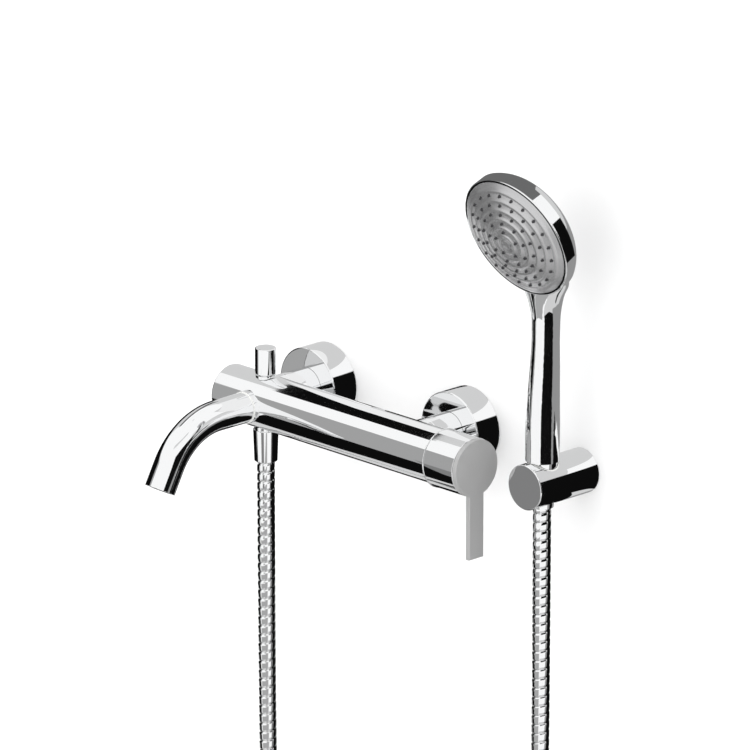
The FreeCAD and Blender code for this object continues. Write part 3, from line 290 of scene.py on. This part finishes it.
def make_uneven_polish():
    """Broad patches and a fine grain added to a roughness; the grain also comes out as a height."""
    group, given, result = new_group(
        "uneven_polish",
        [("Roughness", 0.05), ("Unevenness", 0.02), ("Patch Scale", 18), ("Grain Scale", 900)],
        [("Roughness", "NodeSocketFloat"), ("Height", "NodeSocketFloat")])
    place = group.nodes.new("ShaderNodeTexCoord").outputs["Object"]
    patches = noise_node(group, place, given.outputs["Patch Scale"], 3)
    grain = noise_node(group, place, given.outputs["Grain Scale"], 2)
    spread = math_node(group, "ADD", math_node(group, "MULTIPLY", patches, PATCH_SHARE),
                       math_node(group, "MULTIPLY", grain, GRAIN_SHARE))
    off_middle = math_node(group, "SUBTRACT", spread, NOISE_MIDDLE)
    change = math_node(group, "MULTIPLY", off_middle, given.outputs["Unevenness"])
    group.links.new(math_node(group, "ADD", given.outputs["Roughness"], change), result.inputs["Roughness"])
    group.links.new(grain, result.inputs["Height"])
    return group


uneven_polish = make_uneven_polish()
print("group:", uneven_polish.name, "with", len(uneven_polish.nodes), "nodes")

# %% [markdown]
# One function makes each finish: it sets the constants on the shader and places the group.
# The colour of a metal is what it reflects, so chrome is nearly white and slightly cold.

# %% One finish
def finish(name, colour, metallic, roughness, unevenness, patch=18, grain=900, bump=0.0, coat=0.0):
    """A material with the uneven polish group and an optional fine grain in relief."""
    material = bpy.data.materials.new(name)
    material.use_nodes = True
    tree = material.node_tree
    shader = tree.nodes["Principled BSDF"]
    shader.inputs["Base Color"].default_value = (*colour, 1)
    shader.inputs["Metallic"].default_value = metallic
    shader.inputs["Coat Weight"].default_value = coat
    polish = tree.nodes.new("ShaderNodeGroup")
    polish.node_tree = uneven_polish
    for label, value in (("Roughness", roughness), ("Unevenness", unevenness), ("Patch Scale", patch),
                         ("Grain Scale", grain)):
        polish.inputs[label].default_value = value
    tree.links.new(polish.outputs["Roughness"], shader.inputs["Roughness"])
    if bump:
        relief = tree.nodes.new("ShaderNodeBump")
        relief.inputs["Strength"].default_value = 1.0
        relief.inputs["Distance"].default_value = bump
        tree.links.new(polish.outputs["Height"], relief.inputs["Height"])
        tree.links.new(relief.outputs["Normal"], shader.inputs["Normal"])
    return material


chrome = finish("polished_chrome", (0.93, 0.935, 0.94), 1.0, 0.035, 0.03)
print("first finish:", chrome.name)

# %% [markdown]
# What shows is polished chrome, satin chrome on the flat lever, and satin grey on the spray face.
# The lever is flat, and a flat mirror would show one dark tone all over, so its finish is only partly metal.
# Inside are raw brass, steel, black rubber, white plastic and the two ceramic discs that do the mixing.

# %% Finishes by slot
satin_chrome = finish("satin_chrome", (0.40, 0.40, 0.40), 0.3, 0.36, 0.05)
hose_chrome = finish("hose_chrome", (0.92, 0.925, 0.93), 1.0, 0.06, 0.04, patch=60)
plated_plastic = finish("chromed_plastic", (0.92, 0.925, 0.93), 1.0, 0.04, 0.03)
brass = finish("raw_brass", (0.72, 0.52, 0.24), 1.0, 0.28, 0.12, patch=40, bump=0.00001)
steel = finish("stainless_steel", (0.56, 0.55, 0.53), 1.0, 0.24, 0.1)
rubber = finish("black_rubber", (0.02, 0.02, 0.021), 0.0, 0.62, 0.15, grain=1600, bump=0.00003)
white_plastic = finish("white_plastic", (0.78, 0.78, 0.76), 0.0, 0.38, 0.08, bump=0.00001)
face_grey = finish("spray_face_grey", (0.54, 0.54, 0.545), 0.8, 0.26, 0.06, bump=0.00001)
silicone = finish("grey_silicone", (0.03, 0.03, 0.033), 0.0, 0.5, 0.1)
ceramic = finish("white_ceramic", (0.84, 0.84, 0.82), 0.0, 0.12, 0.04, coat=0.4)
BY_SLOT = {
    "chromed_brass": chrome, "flat_chrome": satin_chrome, "chromed_plastic": plated_plastic,
    "hose_metal": hose_chrome, "raw_brass": brass, "steel": steel, "black_rubber": rubber,
    "white_plastic": white_plastic, "grey_face": face_grey, "grey_silicone": silicone, "ceramic": ceramic}

for part in nodes.values():
    for place in part.material_slots:
        place.material = BY_SLOT[place.material.name.split(".")[0]]
hose.data.materials.append(hose_chrome)
nodes["shower_outlet_nipple"].material_slots[0].material = chrome
print("finishes on", len(nodes), "sub-parts")

# %% [markdown]
# ## The spray face
# The face is a shallow dome of satin plastic with round ridges, one between each two rings of nozzles.
# Two small formulas give its height at any distance from the middle: the plain dome, which is
# part of a ball, and the ridges on it.

# %% Heights of the dome and its ridges
FACE_RADIUS, FACE_DOME, FACE_WALL = 0.0456, 0.0095, 0.002
BUTTON_HOLE = 0.0043
RING_FIRST, RING_STEP = 0.0102, 0.00675
RIDGE_RISE, RIDGE_SHARPNESS, PLAIN_EDGE = 0.00042, 2.5, 0.003
BALL_RADIUS = (FACE_RADIUS ** 2 + FACE_DOME ** 2) / (2 * FACE_DOME)


def dome_height(radius):
    """Height of the plain dome over the rim's plane."""
    return math.sqrt(BALL_RADIUS ** 2 - radius ** 2) - BALL_RADIUS + FACE_DOME


def ridge_height(radius):
    """A narrow crest half way between two rings of nozzles, none at the outer edge."""
    if radius > FACE_RADIUS - PLAIN_EDGE:
        return 0.0
    wave = math.cos(2 * math.pi * (radius - RING_FIRST) / RING_STEP)
    return RIDGE_RISE * ((1 - wave) / 2) ** RIDGE_SHARPNESS


print("dome's ball radius", round(BALL_RADIUS, 4))

# %% [markdown]
# The face and the nozzles are both round, so both are drawn out in the same way: a circle is extruded,
# moved and scaled to one point of the section after another. A lathe would turn them from the same
# section, and by hand in Blender this is the quickest match for it. Both are made round the upright axis
# and then turned into the head's place, which leans back from the vertical.

# %% Drawing out a round piece
FACE_CENTRE = Vector((0.1892, -0.0697, 0.1808))
FACE_LEAN = math.radians(20.4)
SMOOTH_UP_TO = math.radians(40)


def draw_out(name, section, sides, fill):
    """A circle at the section's first point, extruded and scaled to each of the others in turn."""
    bpy.ops.object.select_all(action="DESELECT")
    bpy.ops.mesh.primitive_circle_add(vertices=sides, radius=section[0][0], fill_type=fill,
                                      location=(0, 0, section[0][1]))
    piece = bpy.context.active_object
    piece.name = name
    bpy.ops.object.transform_apply(location=True, rotation=False, scale=False)
    bpy.ops.object.mode_set(mode="EDIT")
    bpy.ops.mesh.select_all(action="SELECT")
    for (old_radius, old_height), (radius, height) in zip(section, section[1:]):
        share = radius / old_radius
        bpy.ops.mesh.extrude_region_move(TRANSFORM_OT_translate={"value": (0, 0, height - old_height)})
        bpy.ops.transform.resize(value=(share, share, 1), center_override=(0, 0, height))
    bpy.ops.mesh.select_all(action="SELECT")
    bpy.ops.mesh.remove_doubles(threshold=WELD)
    bpy.ops.mesh.normals_make_consistent(inside=False)
    bpy.ops.object.mode_set(mode="OBJECT")
    bpy.ops.object.shade_smooth_by_angle(angle=SMOOTH_UP_TO)
    return piece


def put_on_head(piece):
    """Turn a piece made round the upright axis into the spray head's place."""
    bpy.ops.object.select_all(action="DESELECT")
    piece.select_set(True)
    bpy.context.view_layer.objects.active = piece
    piece.rotation_euler = (math.pi / 2 + FACE_LEAN, 0, 0)
    piece.location = FACE_CENTRE
    bpy.ops.object.transform_apply(location=True, rotation=True, scale=True)


print("head leans back", round(math.degrees(FACE_LEAN), 1), "degrees")

# %% [markdown]
# The section runs outwards over the ridges and back underneath without them, and ends where it began.
# So the face is a closed shell with a wall, and not a bare skin.

# %% Face drawn out ring by ring
FACE_SIDES, FACE_RINGS, BACK_RINGS = 128, 96, 12
face_width = FACE_RADIUS - BUTTON_HOLE
face_section = []
for number in range(FACE_RINGS + 1):
    radius = BUTTON_HOLE + face_width * number / FACE_RINGS
    face_section.append((radius, dome_height(radius) + ridge_height(radius)))
for number in range(BACK_RINGS, -1, -1):
    radius = BUTTON_HOLE + face_width * number / BACK_RINGS
    face_section.append((radius, dome_height(radius) - FACE_WALL))
face_section.append(face_section[0])

face = draw_out("spray_face", face_section, FACE_SIDES, "NOTHING")
put_on_head(face)
face.data.materials.append(face_grey)
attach(face, "hand_shower")
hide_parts("face_plate")
nodes["face_button"].material_slots[0].material = face_grey
print("face:", len(face.data.polygons), "faces")

# %% [markdown]
# ## The nozzles
# The nozzles are soft silicone, so that lime can be rubbed off. Each is a small cone with a collar
# at its foot and a hole at its tip. It has few sides, because there are 66 of them.

# %% One nozzle
NOZZLE_SIDES = 14
NOZZLE_SECTION = [(0.00132, -0.0006), (0.00132, 0.00012), (0.00108, 0.00022), (0.00082, 0.00125),
                  (0.00070, 0.00133), (0.00040, 0.00133), (0.00034, 0.0005)]
nozzle = draw_out("spray_nozzles", NOZZLE_SECTION, NOZZLE_SIDES, "NGON")
print("one nozzle:", len(nozzle.data.polygons), "faces")

# %% [markdown]
# One nozzle is modelled, and the others are copies of it, each with its own mesh.
# They stand in rings, with the ridges between them, and are joined into one mat as on the real head.

# %% Rings of nozzles
NOZZLES_IN_RING = (5, 9, 14, 17, 21)
copies = []
for ring, count in enumerate(NOZZLES_IN_RING):
    radius = RING_FIRST + ring * RING_STEP
    for number in range(count):
        turn = 2 * math.pi * number / count
        copy = nozzle.copy()
        copy.data = nozzle.data.copy()
        copy.location = (radius * math.sin(turn), radius * math.cos(turn), dome_height(radius))
        scene.collection.objects.link(copy)
        copies.append(copy)
bpy.data.objects.remove(nozzle)
bpy.ops.object.select_all(action="DESELECT")
for copy in copies:
    copy.select_set(True)
bpy.context.view_layer.objects.active = copies[0]
bpy.ops.object.transform_apply(location=True, rotation=True, scale=True)
bpy.ops.object.join()
nozzles = bpy.context.active_object
nozzles.name = "spray_nozzles"
put_on_head(nozzles)
nozzles.data.materials.clear()
nozzles.data.materials.append(silicone)
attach(nozzles, "hand_shower")
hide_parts("nozzle_mat")
print("nozzles:", len(copies))

# %% [markdown]
# ## The diverter's spring
# The spring draws the knob down again. It is a rigid coil in the frame, and here it only gets a mesh of its
# own.

# %% The spring's own mesh
spring = nodes["diverter_spring"]
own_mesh(spring)

# %% [markdown]
# ## The seam at the handle
# Where the turning cap meets the body there is a fine rounded lip, and it catches a bright line.
# A torus is the start of it: a ring with a round section, standing out of the cap's surface close to
# its open end. Its side towards the body is flattened, so that it doesn't bulge into the gap.
# Only the vertices on that side may be selected, so everything is deselected in edit mode first.

# %% Lip on the cap's open end
LIP_RADIUS, LIP_HALF = 0.0216, 0.0005
LIP_SETBACK, LIP_FLAT = 0.0008, 0.0003
LIP_ROUND, LIP_STEPS = 160, 16

cap_low, cap_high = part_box("handle_cap")
axis_y = (cap_low[1] + cap_high[1]) / 2
lip_x = cap_low[0] + LIP_SETBACK
lip_face = lip_x - LIP_FLAT
bpy.ops.object.select_all(action="DESELECT")
bpy.ops.mesh.primitive_torus_add(
    major_radius=LIP_RADIUS, minor_radius=LIP_HALF, major_segments=LIP_ROUND, minor_segments=LIP_STEPS,
    location=(lip_x, axis_y, 0), rotation=(0, math.pi / 2, 0))
lip = bpy.context.active_object
lip.name = "cap_lip"
bpy.ops.object.transform_apply(location=True, rotation=True, scale=True)
bpy.ops.object.mode_set(mode="EDIT")
bpy.ops.mesh.select_mode(type="VERT")
bpy.ops.mesh.select_all(action="DESELECT")
bpy.ops.object.mode_set(mode="OBJECT")
for vertex in lip.data.vertices:
    vertex.select = vertex.co.x < lip_face
bpy.ops.object.mode_set(mode="EDIT")
bpy.ops.transform.resize(value=(0, 1, 1), center_override=(lip_face, 0, 0))
bpy.ops.object.mode_set(mode="OBJECT")
bpy.ops.object.shade_smooth_by_angle(angle=SMOOTH_UP_TO)
lip.data.materials.append(chrome)
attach(lip, "handle")
print("lip at", round(lip_x, 4), "radius", LIP_RADIUS)

# %% [markdown]
# ## The studio
# Chrome shows only what stands round it, so the room is built for its reflections.
# Large white and grey panels and black flags stand round the faucet, and only mirrors see them.
# The wall and the floor are pale and plain, and are lit evenly.
# The helpers come first. One says which rays find a piece. Another makes a surface clear from behind,
# so that the wall doesn't hide the faucet when it is looked at from there. Two make plain meshes.

# %% Helpers for the studio
scene.view_settings.view_transform = "Standard"


def clear_from_behind(material, front):
    """A material shows its front shader from the front and is clear from behind."""
    tree = material.node_tree
    facing = tree.nodes.new("ShaderNodeNewGeometry")
    clear = tree.nodes.new("ShaderNodeBsdfTransparent")
    blend = tree.nodes.new("ShaderNodeMixShader")
    tree.links.new(facing.outputs["Backfacing"], blend.inputs["Fac"])
    tree.links.new(front, blend.inputs[1])
    tree.links.new(clear.outputs["BSDF"], blend.inputs[2])
    tree.links.new(blend.outputs["Shader"], tree.nodes["Material Output"].inputs["Surface"])


def seen_only_by(piece, camera=False, glossy=False, diffuse=False):
    """Which rays find a piece of the studio."""
    piece.visible_camera = camera
    piece.visible_glossy = glossy
    piece.visible_diffuse = diffuse
    piece.visible_shadow = False
    piece.visible_transmission = camera
    piece.visible_volume_scatter = False


def studio_piece(name, points, faces, material):
    """A plain mesh that belongs to the studio and not to the faucet."""
    data = bpy.data.meshes.new(name)
    data.from_pydata(points, [], faces)
    piece = bpy.data.objects.new(name, data)
    piece.data.materials.append(material)
    scene.collection.objects.link(piece)
    return piece


def flat_surface(name, corners, material):
    """One plain face of the studio."""
    return studio_piece(name, corners, [tuple(range(len(corners)))], material)


print("colours are shown as", scene.view_settings.view_transform)

# %% [markdown]
# The wall and the floor are matt pale paint. Mirrors don't see them, so their edges can't show as lines
# in the chrome, and they throw no shadow on anything.

# %% Wall and floor
WALL_SIZE, WALL_GAP, FLOOR_LEVEL = 6.0, 0.0004, -0.75
PAINT, PAINT_ROUGHNESS, PAINT_SHEEN = 0.9, 0.9, 0.1


def pale_surface(name, front_only):
    """Matt pale paint, which can be clear from behind."""
    material = bpy.data.materials.new(name)
    material.use_nodes = True
    shader = material.node_tree.nodes["Principled BSDF"]
    shader.inputs["Base Color"].default_value = (PAINT, PAINT, PAINT, 1)
    shader.inputs["Roughness"].default_value = PAINT_ROUGHNESS
    shader.inputs["Specular IOR Level"].default_value = PAINT_SHEEN
    if front_only:
        clear_from_behind(material, shader.outputs["BSDF"])
    return material


half = WALL_SIZE / 2
wall = flat_surface("studio_wall", [(-half, WALL_GAP, FLOOR_LEVEL), (half, WALL_GAP, FLOOR_LEVEL),
                                    (half, WALL_GAP, half), (-half, WALL_GAP, half)],
                    pale_surface("wall_paint", True))
floor = flat_surface("studio_floor", [(-half, -half, FLOOR_LEVEL), (half, -half, FLOOR_LEVEL),
                                      (half, half, FLOOR_LEVEL), (-half, half, FLOOR_LEVEL)],
                     pale_surface("floor_paint", False))
seen_only_by(wall, camera=True, diffuse=True)
seen_only_by(floor, camera=True, diffuse=True)
print("wall and floor,", WALL_SIZE, "m wide")

# %% [markdown]
# Light from all round keeps the background white and the shadows faint. A mirror would show it too,
# and look flat, so mirrors get a greyer room: a Light Path node tells which ray is asking.

# %% Light from all round
ROOM_LIGHT, MIRROR_LIGHT = 1.5, 0.66

world = bpy.data.worlds.new("studio")
scene.world = world
world.use_nodes = True
room = world.node_tree
ray = room.nodes.new("ShaderNodeLightPath")
ambient = room.nodes["Background"]
in_mirrors = room.nodes.new("ShaderNodeBackground")
for light, strength in ((ambient, ROOM_LIGHT), (in_mirrors, MIRROR_LIGHT)):
    light.inputs["Color"].default_value = (1, 1, 1, 1)
    light.inputs["Strength"].default_value = strength
choice = room.nodes.new("ShaderNodeMixShader")
room.links.new(ray.outputs["Is Glossy Ray"], choice.inputs["Fac"])
room.links.new(ambient.outputs["Background"], choice.inputs[1])
room.links.new(in_mirrors.outputs["Background"], choice.inputs[2])
room.links.new(choice.outputs["Shader"], room.nodes["World Output"].inputs["Surface"])
print("room light", ROOM_LIGHT, "and", MIRROR_LIGHT, "in mirrors")

# %% [markdown]
# One large lamp gives the faint soft shadows on the wall. It stands high on the left, and is large
# because a small lamp would draw hard edges. Mirrors don't see it.

# %% Soft light
KEY_PLACE, KEY_SIZE, KEY_POWER = (-1.0, -2.6, 1.3), 2.4, 10


def soft_light(name, place, target, size, power):
    """A large square lamp that mirrors don't see."""
    data = bpy.data.lights.new(name, "AREA")
    data.shape = "SQUARE"
    data.size = size
    data.energy = power
    lamp = bpy.data.objects.new(name, data)
    aim = (Vector(target) - Vector(place)).to_track_quat("-Z", "Y")
    lamp.matrix_world = Matrix.Translation(place) @ aim.to_matrix().to_4x4()
    lamp.visible_glossy = False
    scene.collection.objects.link(lamp)
    return lamp


key = soft_light("key", KEY_PLACE, (0, 0, 0), KEY_SIZE, KEY_POWER)
print("lamp of", round(key.data.size, 2), "m")

# %% [markdown]
# ## What the chrome shows
# A panel is a patch of a large sphere round the faucet, given by two directions round and two upwards.
# Directions round run anticlockwise from the right: 270 is the front, 180 the left and 90 the wall.
# A panel gives off one even tone and lights nothing, like the white cards and black flags of a studio.

# %% One panel
PANEL_REACH, PANEL_STEPS = 3.0, 12
PANEL_CENTRE = Vector((0, -0.069, 0))


def glow(name, tone, front_only=False):
    """A material that gives off one even tone."""
    material = bpy.data.materials.new(name)
    material.use_nodes = True
    tree = material.node_tree
    tree.nodes.remove(tree.nodes["Principled BSDF"])
    light = tree.nodes.new("ShaderNodeEmission")
    light.inputs["Color"].default_value = (tone, tone, tone, 1)
    tree.links.new(light.outputs["Emission"], tree.nodes["Material Output"].inputs["Surface"])
    if front_only:
        clear_from_behind(material, light.outputs["Emission"])
    return material


def direction(azimuth, elevation):
    """The unit vector of a direction given in degrees."""
    azimuth, elevation = math.radians(azimuth), math.radians(elevation)
    return Vector((math.cos(azimuth) * math.cos(elevation), math.sin(azimuth) * math.cos(elevation),
                   math.sin(elevation)))


def panel(name, azimuths, elevations, tone):
    """A curved panel that only mirrors see."""
    row = PANEL_STEPS + 1
    turn = (azimuths[1] - azimuths[0]) / PANEL_STEPS
    rise = (elevations[1] - elevations[0]) / PANEL_STEPS
    points = [PANEL_CENTRE + direction(azimuths[0] + turn * i, elevations[0] + rise * j) * PANEL_REACH
              for j in range(row) for i in range(row)]
    faces = [(j * row + i, j * row + i + 1, (j + 1) * row + i + 1, (j + 1) * row + i)
             for j in range(PANEL_STEPS) for i in range(PANEL_STEPS)]
    piece = studio_piece(name, points, faces, glow(name, tone))
    seen_only_by(piece, glossy=True)
    return piece


print("panels stand", PANEL_REACH, "m away")

# %% [markdown]
# Chrome looks like chrome when white and black lie side by side in it. So white panels stand above
# and in front, black flags low and to the left, and a few greys between them.

# %% Panels all round
WHITE, GREY, STRIP_GREY, DARK, BLACK = 1.0, 0.37, 0.30, 0.05, 0.004
PANELS = [
    ("key_panel", (185, 300), (25, 75), WHITE), ("front_strip", (219, 231), (-21, 25), GREY),
    ("front_panel", (231, 370), (-30, 25), WHITE), ("side_panel", (300, 370), (25, 45), WHITE),
    ("right_panel", (350, 405), (25, 75), WHITE), ("lower_panel", (231, 300), (-55, -30), WHITE),
    ("under_flag", (110, 231), (-85, -49), DARK), ("ceiling", (0, 360), (50, 88), WHITE),
    ("low_flag", (185, 231), (-47, -21), BLACK), ("left_flag", (141, 219), (-21, 22), BLACK),
    ("right_strip", (7, 132), (-42, 6), STRIP_GREY)]
for name, azimuths, elevations, tone in PANELS:
    panel(name, azimuths, elevations, tone)
print("panels:", len(PANELS))

# %% [markdown]
# A panel far away shows in every piece at once. A card close by shows in one piece only, because
# the others don't look towards it. Cards in the wall's plane make the dark sides of the flanges,
# the holder, the spout, the hose and the head, each with its outline given round a centre, across and up.

# %% Cards in the wall's plane
CARD_GAP, SPOUT_SHINE = 0.001, 0.9
ORIGIN = (0, 0)


def local_card(name, corners, tone, front_only=False):
    """A flat card close to the faucet, for one of its pieces only."""
    card = flat_surface(name, corners, glow(name, tone, front_only))
    seen_only_by(card, glossy=True)
    return card


def wall_card(name, centre, outline, tone):
    """A card in the wall's plane, with its outline round a centre."""
    return local_card(name, [(centre[0] + x, CARD_GAP, centre[1] + z) for x, z in outline], tone)


def middle_of(name):
    """The middle of a sub-part, across and up."""
    low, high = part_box(name)
    return (low[0] + high[0]) / 2, (low[2] + high[2]) / 2


def upright_box(left, right, low, high):
    """The outline of a rectangle, across and up."""
    return [(left, low), (right, low), (right, high), (left, high)]


FLANGE_CARD = [(0.020, 0.010), (0.052, 0.0255), (0.060, 0), (0.054, -0.024), (0.034, -0.040), (0.024, -0.013)]
FLANGE_SHINE = [(0.018, 0.010), (0.052, 0.0258), (0.046, 0.042), (0.015, 0.022)]
HOLDER_CARD = [(0.013, 0.007), (0.075, 0.037), (0.088, 0), (0.088, -0.014), (0.075, -0.035),
               (0.034, -0.075), (0.012, -0.014)]
HOLDER_SHINE = [(0.012, 0.007), (0.046, 0.0229), (0.034, 0.036), (0.008, 0.012)]
SPOUT_CARD = [(-0.23, -0.16), (0.16, -0.16), (0.16, -0.06), (0.07, -0.06), (0.07, 0.03),
              (-0.01, 0.03), (-0.01, -0.045), (-0.23, -0.045)]
WALL_CARDS = [
    ("left_flange_card", middle_of("wall_flange_left"), FLANGE_CARD, BLACK),
    ("left_flange_shine", middle_of("wall_flange_left"), FLANGE_SHINE, WHITE),
    ("right_flange_card", middle_of("wall_flange_right"), FLANGE_CARD, BLACK),
    ("right_flange_shine", middle_of("wall_flange_right"), FLANGE_SHINE, WHITE),
    ("holder_card", middle_of("holder_body"), HOLDER_CARD, BLACK),
    ("holder_shine", middle_of("holder_body"), HOLDER_SHINE, WHITE),
    ("spout_card", ORIGIN, SPOUT_CARD, BLACK),
    ("spout_light", ORIGIN, upright_box(-0.12, 0.06, 0.045, 0.16), SPOUT_SHINE),
    ("left_hose_card", ORIGIN, upright_box(-0.06, 0.06, -0.8, -0.16), BLACK),
    ("right_hose_card", ORIGIN, upright_box(0.172, 0.265, -0.8, -0.045), BLACK),
    ("head_card", ORIGIN, upright_box(0.27, 0.42, 0.085, 0.275), BLACK)]
for name, centre, outline, tone in WALL_CARDS:
    wall_card(name, centre, outline, tone)
print("cards in the wall's plane:", len(WALL_CARDS))

# %% [markdown]
# A few more cards stand in the room: a black one for the shower's handle, two grey ones that soften
# the white on the hose, and one for the holder's flat end. The last hangs over the head and leans,
# and it is clear from behind, so that no other piece mirrors its upper side.

# %% Cards in the room
HOSE_GREY, DISC_GREY, HEAD_GREY = 0.4, 0.22, 0.15
STANDING_CARDS = [
    ("handle_card", (0.348, -0.296), (0.480, 0.032), -0.09, 0.15, BLACK),
    ("left_hose_grey", (-0.45, -0.84), (0.415, -0.94), -1.0, -0.37, HOSE_GREY),
    ("right_hose_grey", (0.02, -0.24), (0.27, -0.28), -1.0, -0.13, HOSE_GREY),
    ("disc_card", (-0.058, -0.258), (0.022, -0.258), -0.138, -0.058, DISC_GREY)]
HEAD_TOP = [(0.145, 0.01, 0.208), (0.292, 0.01, 0.443), (0.292, -0.12, 0.443), (0.145, -0.12, 0.208)]
for name, start, end, low, high, tone in STANDING_CARDS:
    local_card(name, [(*start, low), (*end, low), (*end, high), (*start, high)], tone)
local_card("head_top_card", HEAD_TOP, HEAD_GREY, front_only=True)
print("cards in the room:", len(STANDING_CARDS) + 1)

# %% [markdown]
# The dark line along the top of the body is the mirror image of black cards over it, set in an arc
# round the body's axis. A mirror image drifts sideways with distance, as much as the camera stands
# to the side, so the arc is moved back by that much. It is finite, so the line ends where the body does.

# %% Cards over the body
OVER = 0.8
LINE_LEFT, LINE_RIGHT = -0.045, 0.152
ARC_FROM, ARC_TO, ARC_STEP = 77, 137, 5

drift = OVER * back.x / math.hypot(back.y, back.z)
left_end, right_end = LINE_LEFT - drift, LINE_RIGHT - drift
turns = [math.radians(angle) for angle in range(ARC_FROM, ARC_TO + 1, ARC_STEP)]
arc = [(axis_y - OVER * math.cos(turn), OVER * math.sin(turn)) for turn in turns]
for number, (near, far) in enumerate(zip(arc, arc[1:])):
    local_card("top_card_%d" % number, [(left_end, *near), (right_end, *near), (right_end, *far),
                                        (left_end, *far)], BLACK)
print("cards over the body:", len(arc) - 1)
